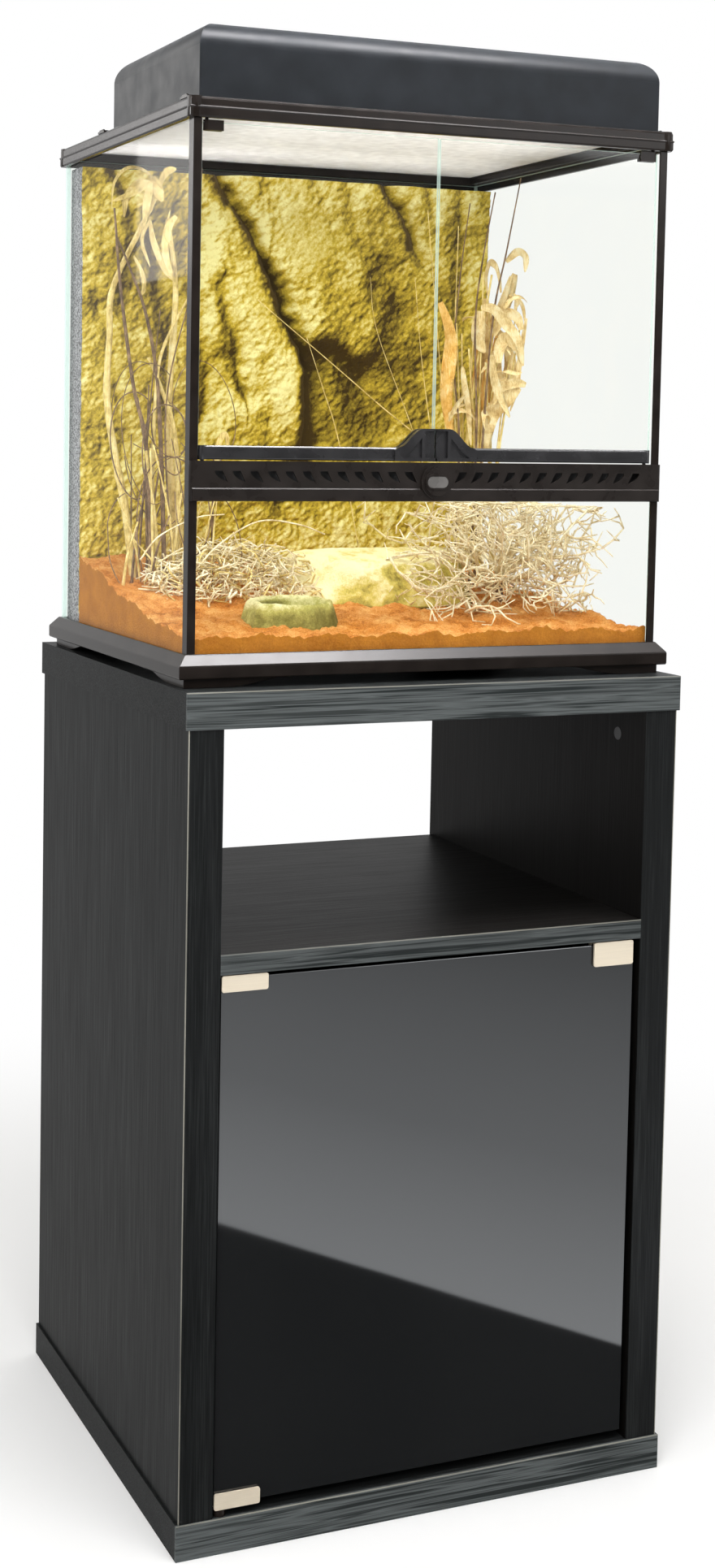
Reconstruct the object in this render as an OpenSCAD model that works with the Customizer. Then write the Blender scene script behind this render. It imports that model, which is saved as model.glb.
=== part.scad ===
// Terrarium on a stand cabinet: a black wood-grain cabinet with an open
// compartment and a smoked glass door, a glass tank with two front doors,
// a lift-off screen cover and a lamp canopy, and the tank's desert furnishing.
// Origin: middle of the footprint, on the floor. X right, Y back, Z up.

/* [Cabinet] */
// Width of the top and bottom boards
cabinet_w = 610; // [590:5:680]
// Depth of the top and bottom boards
cabinet_d = 530; // [510:5:600]
// Height of the cabinet
cabinet_h = 945; // [880:5:1050]
// Thickness of the top and bottom boards
board_t = 40; // [32:1:50]
// Thickness of the side panels
panel_t = 40; // [34:1:44]
// How far the boards stand past the panels at the sides
side_lip = 3; // [1:0.5:8]
// How far the boards stand past the panels at the front and back
front_lip = 2; // [1.5:0.5:6]
// Height of the shelf's top face
shelf_z = 662; // [600:5:720]
// Thickness of the shelf
shelf_t = 22; // [18:1:30]
// Thickness of the back panel
back_t = 4; // [3:0.5:8]
// Distance from the side panels' rear edge to the back panel
back_inset = 6; // [4:1:20]
// Depth of the grooves that hold the back panel
groove_depth = 8; // [4:1:12]

/* [Cabinet fittings] */
// Diameter of the wooden dowels
dowel_d = 8; // [6:1:10]
// Length of the wooden dowels
dowel_l = 30; // [20:2:40]
// Diameter of the cam locks
cam_d = 15; // [12:1:18]
// Depth of the cam locks in the panel
cam_depth = 12.5; // [11.5:0.5:16]
// Distance from a board's end to the middle of its cam lock
cam_edge = 34; // [26:1:40]
// Diameter of the cam bolts' thread
bolt_d = 6; // [5:0.5:7]
// Depth of the cam bolts' thread in the board
bolt_grip = 11; // [8:1:14]
// Diameter of the rubber wall bumpers
bumper_d = 12; // [8:1:16]
// Height of the wall bumpers above the floor
bumper_z = 454; // [300:5:600]

/* [Cabinet door] */
// Thickness of the smoked glass
smoked_t = 5; // [4:0.5:8]
// How far the glass lies behind the panels' front edges
door_recess = 5; // [4.5:0.5:12]
// Gap beside the hinge edge of the door
hinge_gap = 2.5; // [2:0.5:5]
// Gap beside the opening edge of the door
latch_gap = 6; // [3:0.5:10]
// Gap above the door fittings
door_top_gap = 1.5; // [1:0.5:4]
// Gap under the door fittings
door_bottom_gap = 7.5; // [4:0.5:12]
// Width of the hinge clamps
clamp_w = 54; // [40:1:70]
// Height of the hinge clamps
clamp_h = 18; // [14:1:26]
// Thickness of the clamp plates
clamp_t = 2.5; // [1.5:0.5:2.5]
// Distance from the door's hinge edge to the pivot axis
pivot_in = 8; // [7.5:0.5:14]
// Diameter of the pivot pins
pivot_d = 6; // [4:0.5:7]
// Length of the pivot pins in their bushes
pivot_l = 8; // [6:1:12]
// Thickness of the soft pads between metal and glass
pad_t = 1; // [0.5:0.25:1]
// Width of the catch plate
catch_w = 52; // [40:1:70]
// Height of the catch plate
catch_h = 28; // [22:1:40]
// Diameter of the push latch's plunger
plunger_d = 8; // [6:1:10]
// Travel of the push latch's plunger
plunger_travel = 3; // [1:0.5:5]

/* [Tank] */
// Distance from the cabinet's sides to the base frame
base_gap = 1; // [0:0.5:6]
// Depth of the base frame
base_d = 476; // [440:2:500]
// Distance from the cabinet's front edge to the base frame
tank_setback = 28; // [0:1:30]
// Height of the feet under the base frame's band
foot_h = 10; // [8:0.5:14]
// Height of the base frame's band
band_h = 15; // [12:1:20]
// Height of the sloped face above the band
bevel_h = 11; // [6:1:16]
// Width of the sloped face
bevel_w = 10; // [6:0.5:11]
// Distance from the base frame's edge to the glass box
glass_inset = 13; // [12:0.5:15]
// Thickness of the walls of the glass box
wall_t = 5; // [4:0.5:6]
// Thickness of the floor glass
floor_t = 4; // [3:0.5:6]
// Height of the tank without its cover
tank_h = 625; // [560:5:700]
// Height of the top frame
rim_h = 22; // [20:1:28]
// Distance from the base frame's edge to the top frame's ridge
rim_inset = 6; // [5:0.5:7]
// Width of the corner posts' faces
post_w = 9.5; // [8:0.5:10]

/* [Vent bar] */
// Height of the vent bar's lower edge above the cabinet
bar_z = 200; // [150:5:260]
// Height of the vent bar
bar_h = 43; // [41:1:52]
// Height of the smooth strip along the vent bar's lower edge
strip_h = 15; // [12:1:16]
// How far the strip stands out
strip_out = 1.5; // [0.5:0.25:2]
// Number of vent slots on each side
slot_count = 12; // [6:1:12]
// Width of a vent slot
slot_w = 9; // [5:0.5:10]
// Height of a vent slot
slot_h = 12; // [8:0.5:14]
// Radius of the lock knob
knob_r = 17; // [13:0.5:17]

/* [Tank doors] */
// Thickness of the door glass
door_t = 4; // [3:0.5:5]
// Gap between the two doors
door_gap = 2; // [1:0.5:4]
// Height of the door rails
rail_h = 15.3; // [12:0.1:17]
// Thickness of the door rails
rail_t = 12; // [9:0.5:12]
// Gap between the vent bar and the door rails
rail_gap = 1.2; // [1:0.1:3]
// Distance from the posts' inner edges to the door pivots
door_pivot_in = 7; // [6.8:0.1:9]
// Diameter of the door pivot pins
door_pin_d = 4; // [3:0.5:5]
// Height of the domed handle above the rails
dome_h = 21; // [14:1:30]
// Width of both halves of the domed handle
dome_w = 94; // [80:2:120]

/* [Screen cover] */
// Width of the top frame's wall beside the screen cover
rim_wall = 10.5; // [10:0.25:12]
// Thickness of the screen cover's frame
screen_t = 7; // [5:0.5:7.5]
// Width of the screen cover's border
screen_border = 18; // [18:1:26]
// Thickness of the wire mesh
mesh_t = 1; // [0.8:0.1:1.5]
// Travel of the sliding latches
latch_travel = 3; // [2:0.25:3]
// Length of the sliding latches
latch_l = 22; // [16:1:30]

/* [Canopy] */
// Distance from the screen cover's seat to the canopy's ends
canopy_gap = 4; // [2:0.5:8]
// Depth of the lamp canopy
canopy_d = 282; // [180:2:320]
// Height of the lamp canopy
canopy_h = 82; // [76:1:110]
// Radius of the canopy's upper edges
canopy_r = 26; // [10:1:34]
// Wall of the canopy
canopy_t = 3; // [2:0.5:4]
// Number of lamps
lamp_count = 3; // [1:1:3]
// Diameter of the lamp sockets
socket_d = 38; // [32:1:40]
// Diameter of the lamp bulbs
bulb_d = 45; // [38:1:46]

/* [Furnishing] */
// Depth of the sand at the front
sand_front = 52; // [48:1:60]
// Depth of the sand at the rear left
sand_left = 118; // [95:1:125]
// Depth of the sand at the rear right
sand_right = 92; // [85:1:125]
// Thickness of the rock background at its foot
rock_foot = 50; // [40:1:60]
// Length of the cave rock
cave_w = 240; // [200:5:250]
// Depth of the cave rock
cave_d = 118; // [100:2:120]
// Height of the cave rock
cave_h = 66; // [50:2:80]
// Length of the water dish
dish_w = 122; // [100:2:130]
// Height of the water dish
dish_h = 34; // [24:1:40]
// Length of the tallest dried stalk
stalk_h = 455; // [300:5:460]
// Length of the grass leaves
leaf_l = 46; // [30:1:50]
// Reach of the large twig bush
bush_reach = 150; // [100:5:155]

/* [Hidden] */
$fn = 48;

// Clearances shared by everything that fits together
fit = 0.3;      // between parts that are slid or laid into place
run = 0.05;     // on the radius of a turning or sliding pin
cut = 1;        // how far a cutter reaches past the face that it opens

// Colours
black_ash = [0.13, 0.13, 0.13];
dark_plastic = [0.11, 0.10, 0.10];
nickel = [0.78, 0.73, 0.66];
steel = [0.70, 0.71, 0.73];
clear_glass = [0.80, 0.92, 0.88, 0.35];
smoked_glass = [0.12, 0.13, 0.14, 0.8];
rock_yellow = [0.72, 0.64, 0.28];
sand_orange = [0.84, 0.45, 0.17];
straw = [0.80, 0.68, 0.40];
twig_pale = [0.80, 0.72, 0.55];
canopy_black = [0.08, 0.08, 0.09];

// Cabinet
front_y = -cabinet_d / 2;
panel_x = cabinet_w / 2 - side_lip;             // outer face of a side panel
inner_x = panel_x - panel_t;                    // inner face of a side panel
panel_front = front_y + front_lip;
panel_back = -panel_front;
panel_top = cabinet_h - board_t;
shelf_bottom = shelf_z - shelf_t;
back_face = panel_back - back_inset - back_t;   // front face of the back panel
cam_from_edge = 60;                             // cam lock to the panel's edge
dowel_from_cam = 45;                            // dowel to the cam lock beside it
cam_ys = [panel_front + cam_from_edge, back_face - cam_from_edge];
dowel_ys = [cam_ys[0] + dowel_from_cam, cam_ys[1] - dowel_from_cam];
bolt_in = 8;                                    // cam bolt to the panel's inner face
bolt_neck_d = 5;
bolt_head_d = 7;
bolt_head_l = 4;
bolt_way_d = 8.4;                               // way for the bolt's head in the cam lock
bumper_h = front_lip - 0.5;
bumper_pin_d = 5;
bumper_pin_l = 8;

// Cabinet door
door_left = -inner_x + hinge_gap;
door_right = inner_x - latch_gap;
door_front = panel_front + door_recess;
door_mid = door_front + smoked_t / 2;
clamp_half = smoked_t / 2 + pad_t + clamp_t;    // half the thickness of a clamp
clamp_r = 2.5;
glass_top = shelf_bottom - door_top_gap - clamp_t - pad_t;
glass_bottom = board_t + door_bottom_gap + clamp_t + pad_t;
pivot_x = door_left + pivot_in;
bush_d = pivot_d + 3;
bush_collar_d = pivot_d + 8;
bush_collar_t = 1.2;
screw_d = 5;
screw_in = 14;                                  // clamp screw to the clamp's end
catch_x = door_right - 2.5 - catch_w;           // left end of the catch plate
striker_h = catch_h / 2;                        // height of the catch plate's rear leaf
latch_x = catch_x + catch_w / 2;
latch_w = 20;
latch_depth = 52;
latch_z = shelf_bottom - catch_h / 2 + 3;       // axis of the plunger
latch_front = door_mid + clamp_half + fit + plunger_travel + 1.5;
plunger_l = 30;
latch_screw_d = 4;
latch_screw_grip = 10;

// Tank, measured from the middle of its base on the cabinet
tank_y = front_y + tank_setback + base_d / 2;
base_w = cabinet_w - 2 * base_gap;
glass_w = base_w - 2 * glass_inset;
glass_d = base_d - 2 * glass_inset;
rim_w = base_w - 2 * rim_inset;
rim_d = base_d - 2 * rim_inset;
half_w = glass_w / 2;
half_d = glass_d / 2;
band_top = foot_h + band_h;
base_top = band_top + bevel_h;
ledge_w = 20;                                   // ledge under the glass in the base frame
ledge_z = foot_h + 4;
floor_top = ledge_z + floor_t;
foot_in = 8;                                    // feet inside the band
foot_l = 50;                                    // straight part of a foot
foot_curve = 80;                                // S-curve from a foot to the arch
arch_h = foot_h + 1;
rim_z = tank_h - rim_h;
glass_top_z = rim_z + 8;                        // top edge of the walls, inside the top frame
seat_z = tank_h - screen_t;                     // seat of the screen cover
ridge_z = rim_h / 2;
seat_in = 16;                                   // seat's inner edge to the screen cover's edge
boss_r = 8;
post_t = 2.3;
post_front = -half_d - 2.5;
post_inner = half_w + 1 - post_w;               // inner edge of a post's face

// Vent bar
bar_front = -rim_d / 2 + 1;
plate_back = post_front - fit;                  // back of the bar's face plate
bar_back = -half_d + 9;
bar_top = bar_z + bar_h;
bar_r = 3;
vent_z0 = bar_z + strip_h + 2;
vent_z1 = bar_top - 3;
slot_z = (vent_z0 + vent_z1) / 2 - 2;
slot_first = 31;                                // middle of the bar to the first slot
slot_lean = 3;                                  // sideways lean of a slot
slot_edge = 13;                                 // end of the vent's hollow to the last slot
knob_z = bar_z + 21.5;
knob_ring = 2.2;
knob_out = 5;                                   // knob in front of the bar's face
shaft_d = 8;
window_front = post_front + post_t + fit;
window_top = bar_z + 6;
mesh_in = 2;                                    // vent mesh to the back of the bar
vent_x0 = knob_r + knob_ring + 2;
vent_x1 = post_inner - door_pivot_in - 6;
slot_pitch = (vent_x1 - slot_edge - slot_first) / (slot_count - 1);

// Tank doors
pivot_door_x = post_inner - door_pivot_in;
door_pivot_y = -half_d + 1 + door_t / 2;
rail_z = bar_top + rail_gap;
rail_top = rail_z + rail_h;
rail_front = door_pivot_y - rail_t / 2;
glass_seat = rail_z + 4;                        // bottom edge of the door glass in its rail
door_glass_edge = 5.5;                          // door glass past the pivot axis
door_top = rim_z - 1.5;
shoe_h = 11;
shoe_l = 18;
shoe_t = 2;                                     // wall of a shoe beside the glass
pin_depth = 8;
dome_flat = 32;
dome_out = 3;

// Screen cover
seat_x = rim_w / 2 - rim_wall;
seat_y = rim_d / 2 - rim_wall;
screen_top = seat_z + screen_t;
mesh_z = seat_z + 2;
mesh_grip = 6;                                  // mesh inside the cover's border
mesh_bar = 4;                                   // bars of the coarse grid that stands for the mesh
grid_cols = 12;
grid_rows = 9;
latch_t = 2.5;
latch_stem_t = 2.5;
latch_stem_l = 8;
latch_stem_h = 4;
latch_inner = seat_x + 0.5;
latch_plate_w = 7;
latch_base_z = tank_h + fit;                    // underside of a latch's plate
stem_x = latch_inner + latch_travel + 0.8;
latch_ys = [-seat_y + 18, 75];

// Canopy
canopy_w = 2 * (seat_x - canopy_gap);
canopy_y = -seat_y + 1.5 + canopy_d / 2;
canopy_inner_top = screen_top + canopy_h - canopy_t;
reflector_gap = 8;
reflector_t = 1.2;
reflector_w = 120;
reflector_h = 52;
reflector_flare = 24;
reflector_end = 12;
reflector_z = canopy_inner_top - reflector_gap;
socket_l = 34;
bulb_l = 118;
bulb_base_d = 26;
bulb_base_l = 22;
lamp_drop = bulb_d / 2 + 6;                      // lamp axis under the reflector
lamp_z = reflector_z - reflector_t - lamp_drop;
lamp_l = socket_l + bulb_l - bulb_base_l;        // length of a lamp in its socket
lamp_pitch = (canopy_w - 2 * (canopy_t + reflector_end)) / lamp_count;
gland_d = 12;
gland_l = 12;
gland_bore_d = 6.5;
gland_at = [canopy_w / 2 - 60, screen_top + canopy_h / 2];

// Furnishing
sand_x = half_w - wall_t - fit;
sand_y0 = window_front + wall_t + fit;
rock_y = half_d - wall_t;                       // back of the rock background
sand_y1 = rock_y - rock_foot - fit;
cave_at = in_sand([0.16, 0.05]);
cave_seat = sand_front + 10;
dish_at = in_sand([-0.45, -0.59]);
dish_seat = sand_front - 2;
left_bush_at = in_sand([-0.47, 0.11]);
right_bush_at = in_sand([0.66, -0.2]);
stalk_sink = 26;
root_hole = 130;

// A line of points mirrored to a closed outline, for a frame w wide
function both_sides(w, profile) = concat(
    [for (q = profile) [w / 2 - q[0], q[1]]],
    [for (i = [len(profile) - 1:-1:0]) [profile[i][0] - w / 2, profile[i][1]]]);
// A place in the sand, from its share of the half width and the half depth
function in_sand(share) = [share[0] * sand_x, share[1] * rock_y];
function smooth(a, b, v) = let (t = min(1, max(0, (v - a) / (b - a)))) t * t * (3 - 2 * t);
function mix(a, b, t) = a + (b - a) * t;
function s_curve(x0, x1, z0, z1, steps) =
    [for (i = [0:steps]) [mix(x0, x1, i / steps), mix(z0, z1, (1 - cos(180 * i / steps)) / 2)]];

// Block whose four sides all follow the same profile of [inset, height] points
module profiled_block(w, d, profile) {
    intersection() {
        rotate([90, 0, 0]) translate([0, 0, -d / 2])
            linear_extrude(d) polygon(both_sides(w, profile));
        rotate([90, 0, 90]) translate([0, 0, -w / 2])
            linear_extrude(w) polygon(both_sides(d, profile));
    }
}

// Upright box about the Z axis between two heights
module middle_box(w, d, z0, z1) {
    translate([-w / 2, -d / 2, z0]) cube([w, d, z1 - z0]);
}

// Rectangle with round corners, its lower left corner at the origin
module round_rect(w, h, r) {
    translate([r, 0]) square([w - 2 * r, h]);
    translate([0, r]) square([w, h - 2 * r]);
    for (x = [r, w - r], y = [r, h - r]) translate([x, y]) circle(r);
}

// Extrudes a Y-Z outline from x0 to x1
module along_x(x0, x1) {
    translate([x0, 0, 0]) rotate([90, 0, 90]) linear_extrude(x1 - x0) children();
}

// Extrudes an X-Z outline from y0 to y1
module along_y(y0, y1) {
    translate([0, y1, 0]) rotate([90, 0, 0]) linear_extrude(y1 - y0) children();
}

// Pin along Y from y0 to y1
module pin_y(x, z, d, y0, y1) {
    translate([x, y1, z]) rotate([90, 0, 0]) cylinder(d = d, h = y1 - y0);
}

// Pin along Z from z0 to z1
module pin_z(x, y, d, z0, z1) {
    translate([x, y, z0]) cylinder(d = d, h = z1 - z0);
}

module in_tank() {
    translate([0, tank_y, cabinet_h]) children();
}

// Closed skin over a stack of point rings that go up, each anticlockwise from above
module ring_skin(rings) {
    n = len(rings[0]);
    m = len(rings);
    sides = [for (i = [0:m - 2], j = [0:n - 1])
        let (a = i * n + j, b = i * n + (j + 1) % n) each [[a, a + n, b + n], [a, b + n, b]]];
    polyhedron([for (ring = rings) each ring],
        concat([[for (j = [0:n - 1]) j]], sides, [[for (j = [n - 1:-1:0]) (m - 1) * n + j]]),
        convexity = 6);
}

// Closed block over a grid of points, rows from front to back, with a flat bottom at z
module grid_block(grid, z) {
    rows = len(grid);
    cols = len(grid[0]);
    top = [for (row = grid) each row];
    rim = concat([for (j = [0:cols - 1]) j],
        [for (i = [1:rows - 1]) i * cols + cols - 1],
        [for (j = [cols - 2:-1:0]) (rows - 1) * cols + j],
        [for (i = [rows - 2:-1:1]) i * cols]);
    n = len(rim);
    base = len(top);
    quads = [for (i = [0:rows - 2], j = [0:cols - 2])
        let (a = i * cols + j, b = a + 1, c = a + cols, d = c + 1) each [[a, c, d], [a, d, b]]];
    sides = [for (k = [0:n - 1])
        let (l = (k + 1) % n) [rim[k], rim[l], base + l, base + k]];
    middle = (top[0] + top[base - 1]) / 2;
    polyhedron(concat(top, [for (k = rim) [top[k][0], top[k][1], z]], [[middle[0], middle[1], z]]),
        concat(quads, sides, [for (k = [0:n - 1]) [base + n, base + k, base + (k + 1) % n]]),
        convexity = 6);
}

// ---- Cabinet ----

// Places children at the panels' ends, with +Z into the panel and +X outward
module at_board_joints(ys) {
    for (side = [0, 1], top = [0, 1], y = ys)
        mirror([side, 0, 0]) translate([inner_x, y, top ? panel_top : board_t])
            mirror([0, 0, top]) children();
}

// Places children at the shelf's ends, with +Z into the shelf and +X up from its underside
module at_shelf_joints(ys) {
    for (side = [0, 1], y = ys)
        mirror([side, 0, 0]) translate([inner_x, y, shelf_bottom]) rotate([0, -90, 0]) children();
}

module dowel(extra = 0) {
    translate([0, 0, -dowel_l / 2 - extra]) cylinder(d = dowel_d + 2 * extra, h = dowel_l + 2 * extra);
}

module cam_bolt() {
    translate([0, 0, -bolt_grip]) cylinder(d = bolt_d, h = bolt_grip);
    cylinder(d = bolt_neck_d, h = cam_edge);
    translate([0, 0, cam_edge - bolt_head_l / 2]) cylinder(d = bolt_head_d, h = bolt_head_l);
}

module cam_bolt_hole() {
    translate([0, 0, -bolt_grip - fit]) cylinder(d = bolt_d + 2 * run, h = bolt_grip + fit);
    cylinder(d = bolt_way_d, h = cam_edge);
}

// Cam lock about the X axis, let into the face at x = 0
module cam_disc(extra = 0) {
    translate([-extra * 4, 0, cam_edge]) rotate([0, 90, 0])
        cylinder(d = cam_d + 2 * extra, h = cam_depth + extra * 5);
}

module cam_lock() {
    difference() {
        cam_disc();
        translate([bolt_in, 0, 0]) cylinder(d = bolt_way_d, h = cam_edge + bolt_head_l);
    }
}

module cam_holes() {
    translate([bolt_in, 0, 0]) cam_bolt_hole();
    cam_disc(run * 2);
}

module board_joint_holes() {
    at_board_joints(dowel_ys) translate([panel_t / 2, 0, 0]) dowel(run);
    at_board_joints(cam_ys) cam_holes();
}

module shelf_joint_holes() {
    at_shelf_joints(dowel_ys) translate([shelf_t / 2, 0, 0]) dowel(run);
    at_shelf_joints(cam_ys) cam_holes();
}

module board(z) {
    difference() {
        translate([-cabinet_w / 2, front_y, z]) cube([cabinet_w, cabinet_d, board_t]);
        board_joint_holes();
        back_panel_groove();
        bush_hole(0);
    }
}

module back_panel_space(gap) {
    translate([-inner_x - groove_depth - gap, back_face - gap / 2, board_t - groove_depth - gap])
        cube([2 * (inner_x + groove_depth + gap), back_t + gap, shelf_z - board_t + groove_depth + gap]);
}

module back_panel_groove() {
    back_panel_space(fit);
}

module top_board() {
    color(black_ash) board(panel_top);
}

module bottom_board() {
    color(black_ash) board(0);
}

module side_panel() {
    color(black_ash) difference() {
        translate([inner_x, panel_front, board_t])
            cube([panel_t, panel_back - panel_front, panel_top - board_t]);
        board_joint_holes();
        shelf_joint_holes();
        back_panel_groove();
        bumper_holes();
    }
}

module left_side_panel() {
    mirror([1, 0, 0]) side_panel();
}

module right_side_panel() {
    side_panel();
}

module middle_shelf() {
    color(black_ash) difference() {
        translate([-inner_x, panel_front, shelf_bottom])
            cube([2 * inner_x, back_face - panel_front, shelf_t]);
        shelf_joint_holes();
        bush_hole(1);
        latch_screw_shanks(run);
    }
}

module back_panel() {
    color(black_ash) back_panel_space(0);
}

module joint_dowels() {
    color("burlywood") {
        at_board_joints(dowel_ys) translate([panel_t / 2, 0, 0]) dowel();
        at_shelf_joints(dowel_ys) translate([shelf_t / 2, 0, 0]) dowel();
    }
}

module cam_bolts() {
    color(steel) {
        at_board_joints(cam_ys) translate([bolt_in, 0, 0]) cam_bolt();
        at_shelf_joints(cam_ys) translate([bolt_in, 0, 0]) cam_bolt();
    }
}

module cam_locks() {
    color(steel) {
        at_board_joints(cam_ys) cam_lock();
        at_shelf_joints(cam_ys) cam_lock();
    }
}

module at_bumpers() {
    for (side = [-1, 1]) translate([side * (panel_x - bumper_d / 2 - 1), panel_back, bumper_z])
        rotate([-90, 0, 0]) children();
}

module bumper_holes() {
    at_bumpers() translate([0, 0, -bumper_pin_l - fit])
        cylinder(d = bumper_pin_d + 2 * run, h = bumper_pin_l + fit + cut);
}

module wall_bumpers() {
    color(dark_plastic) at_bumpers() {
        cylinder(d = bumper_d, h = bumper_h);
        translate([0, 0, -bumper_pin_l]) cylinder(d = bumper_pin_d, h = bumper_pin_l);
    }
}

// ---- Cabinet door ----

// Places children at a door end: 0 for the lower, 1 for the upper, with +Z out of the door
module at_door_end(top) {
    translate([0, 0, top ? glass_top : glass_bottom]) mirror([0, 0, 1 - top]) children();
}

module bush_hole(top) {
    at_door_end(top) pin_z(pivot_x, door_mid, bush_d + 2 * run, 0, bush_end(top) + fit);
    if (top) at_door_end(1)
        pin_z(pivot_x, door_mid, bush_collar_d + 2 * run, 0, shelf_bottom - glass_top + bush_collar_t);
}

// Distance from the door glass's end to the blind end of its bush
function bush_end(top) = clamp_t + pad_t + (top ? door_top_gap : door_bottom_gap) + pivot_l + fit;

module hinge_bush(top) {
    face = clamp_t + pad_t + (top ? door_top_gap : door_bottom_gap);
    collar = top ? bush_collar_t : -(door_bottom_gap - fit);
    at_door_end(top) difference() {
        union() {
            pin_z(pivot_x, door_mid, bush_d, face + min(0, collar), bush_end(top));
            pin_z(pivot_x, door_mid, bush_collar_d, face + min(0, collar), face + max(0, collar));
        }
        pin_z(pivot_x, door_mid, pivot_d + 2 * run, 0, bush_end(top) - 0.5);
    }
}

module hinge_bushes() {
    color(dark_plastic) {
        hinge_bush(0);
        hinge_bush(1);
    }
}

module smoked_glass_door() {
    color(smoked_glass) translate([door_left, door_front, glass_bottom])
        cube([door_right - door_left, smoked_t, glass_top - glass_bottom]);
}

// U-shaped clip over the glass edge, its round-cornered leaves h_front and h_rear high
module glass_clip(x, w, h_front, h_rear) {
    h_web = clamp_t + pad_t;
    translate([x, 0, 0]) {
        along_y(door_mid - clamp_half, door_mid - clamp_half + clamp_t)
            translate([0, h_web - h_front]) round_rect(w, h_front, clamp_r);
        along_y(door_mid + clamp_half - clamp_t, door_mid + clamp_half)
            translate([0, h_web - h_rear]) round_rect(w, h_rear, clamp_r);
        translate([clamp_r, door_mid - clamp_half, pad_t])
            cube([w - 2 * clamp_r, 2 * clamp_half, clamp_t]);
    }
}

module at_clamp_screws() {
    for (x = [door_left + screw_in, door_left + clamp_w - screw_in])
        translate([x, door_mid + smoked_t / 2 + pad_t, -clamp_h / 2]) rotate([-90, 0, 0]) children();
}

module hinge_clamp(top) {
    color(nickel) at_door_end(top) {
        difference() {
            glass_clip(door_left, clamp_w, clamp_h, clamp_h);
            at_clamp_screws() cylinder(d = screw_d + 2 * run, h = clamp_t + cut);
        }
        pin_z(pivot_x, door_mid, pivot_d, pad_t + clamp_t / 2, bush_end(top) - fit - 0.5);
    }
}

module upper_hinge_clamp() {
    hinge_clamp(1);
}

module lower_hinge_clamp() {
    hinge_clamp(0);
}

module clamp_screws() {
    color(steel) for (top = [0, 1]) at_door_end(top) at_clamp_screws()
        cylinder(d = screw_d, h = clamp_t + 0.5);
}

module clip_pads(x, w, h_front, h_rear) {
    translate([x, 0, -h_front + clamp_t + pad_t]) {
        translate([0, door_front - pad_t, 0]) cube([w, pad_t, h_front - clamp_t]);
        translate([0, door_front + smoked_t, h_front - h_rear]) cube([w, pad_t, h_rear - clamp_t]);
        translate([0, door_front, h_front - clamp_t - pad_t]) cube([w, smoked_t, pad_t]);
    }
}

module clamp_pads() {
    inset = clamp_r;
    color("black") {
        for (top = [0, 1]) at_door_end(top)
            clip_pads(door_left + inset, clamp_w - 2 * inset, clamp_h - inset, clamp_h - inset);
        at_door_end(1)
            clip_pads(catch_x + inset, catch_w - 2 * inset, catch_h - inset, striker_h - inset);
    }
}

module catch_plate() {
    color(nickel) at_door_end(1) glass_clip(catch_x, catch_w, catch_h, striker_h);
}

// ---- Push latch ----

module latch_housing() {
    color(dark_plastic) difference() {
        union() {
            translate([latch_x - latch_w / 2, latch_front, latch_z - latch_w / 2])
                cube([latch_w, latch_depth, shelf_bottom - latch_z + latch_w / 2]);
            translate([latch_x - latch_w, latch_front + 8, shelf_bottom - 3])
                cube([2 * latch_w, latch_depth - 16, 3]);
        }
        pin_y(latch_x, latch_z, plunger_d + 2 * run, latch_front - cut,
            latch_front + plunger_l + plunger_travel);
        latch_screw_shanks(run);
    }
}

module latch_screw_shanks(extra) {
    for (side = [-1, 1])
        pin_z(latch_x + side * latch_w * 0.75, latch_front + latch_depth / 2,
            latch_screw_d + 2 * extra, shelf_bottom - 3 - extra, shelf_bottom + latch_screw_grip + extra);
}

module latch_screws() {
    color(steel) {
        latch_screw_shanks(0);
        for (side = [-1, 1])
            pin_z(latch_x + side * latch_w * 0.75, latch_front + latch_depth / 2,
                2 * latch_screw_d, shelf_bottom - 3 - 2, shelf_bottom - 3);
    }
}

module latch_plunger() {
    tip = door_mid + clamp_half + fit;
    color(dark_plastic) {
        pin_y(latch_x, latch_z, plunger_d, tip + 1, tip + plunger_l);
        pin_y(latch_x, latch_z, plunger_d - 1, tip, tip + 1);
    }
}

// ---- Tank frame and glass ----

// Arch between the feet, as an X-Z outline for a side w long
module arch_outline(w) {
    reach = w / 2 - foot_in - foot_l;
    polygon(concat([[-reach, -cut], [reach, -cut]], s_curve(reach, reach - foot_curve, 0, arch_h, 8),
        s_curve(-reach + foot_curve, -reach, arch_h, 0, 8)));
}

module base_frame() {
    color(dark_plastic) in_tank() difference() {
        union() {
            profiled_block(base_w, base_d, [[1, foot_h], [0, foot_h + 1.5], [0, band_top - 1.5],
                [0.5, band_top], [bevel_w - 1, base_top - 1], [bevel_w, base_top]]);
            middle_box(base_w - 2 * foot_in, base_d - 2 * foot_in, 0, foot_h + cut);
        }
        middle_box(glass_w + 2 * fit, glass_d + 2 * fit, ledge_z, base_top + cut);
        middle_box(glass_w - 2 * ledge_w, glass_d - 2 * ledge_w, -cut, ledge_z + cut);
        along_y(-base_d / 2 - cut, base_d / 2 + cut) arch_outline(base_w);
        rotate([0, 0, 90]) along_y(-base_w / 2 - cut, base_w / 2 + cut) arch_outline(base_d);
    }
}

module floor_pane() {
    color(clear_glass) in_tank()
        middle_box(glass_w - 2 * wall_t - 2 * fit, glass_d - 2 * wall_t - 2 * fit, ledge_z, floor_top);
}

module side_pane() {
    color(clear_glass) in_tank() translate([half_w - wall_t, window_front, ledge_z])
        cube([wall_t, half_d - wall_t - window_front, glass_top_z - ledge_z]);
}

module left_pane() {
    mirror([1, 0, 0]) side_pane();
}

module right_pane() {
    side_pane();
}

module back_pane() {
    color(clear_glass) in_tank() translate([-half_w, half_d - wall_t, ledge_z])
        cube([glass_w, wall_t, glass_top_z - ledge_z]);
}

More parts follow.
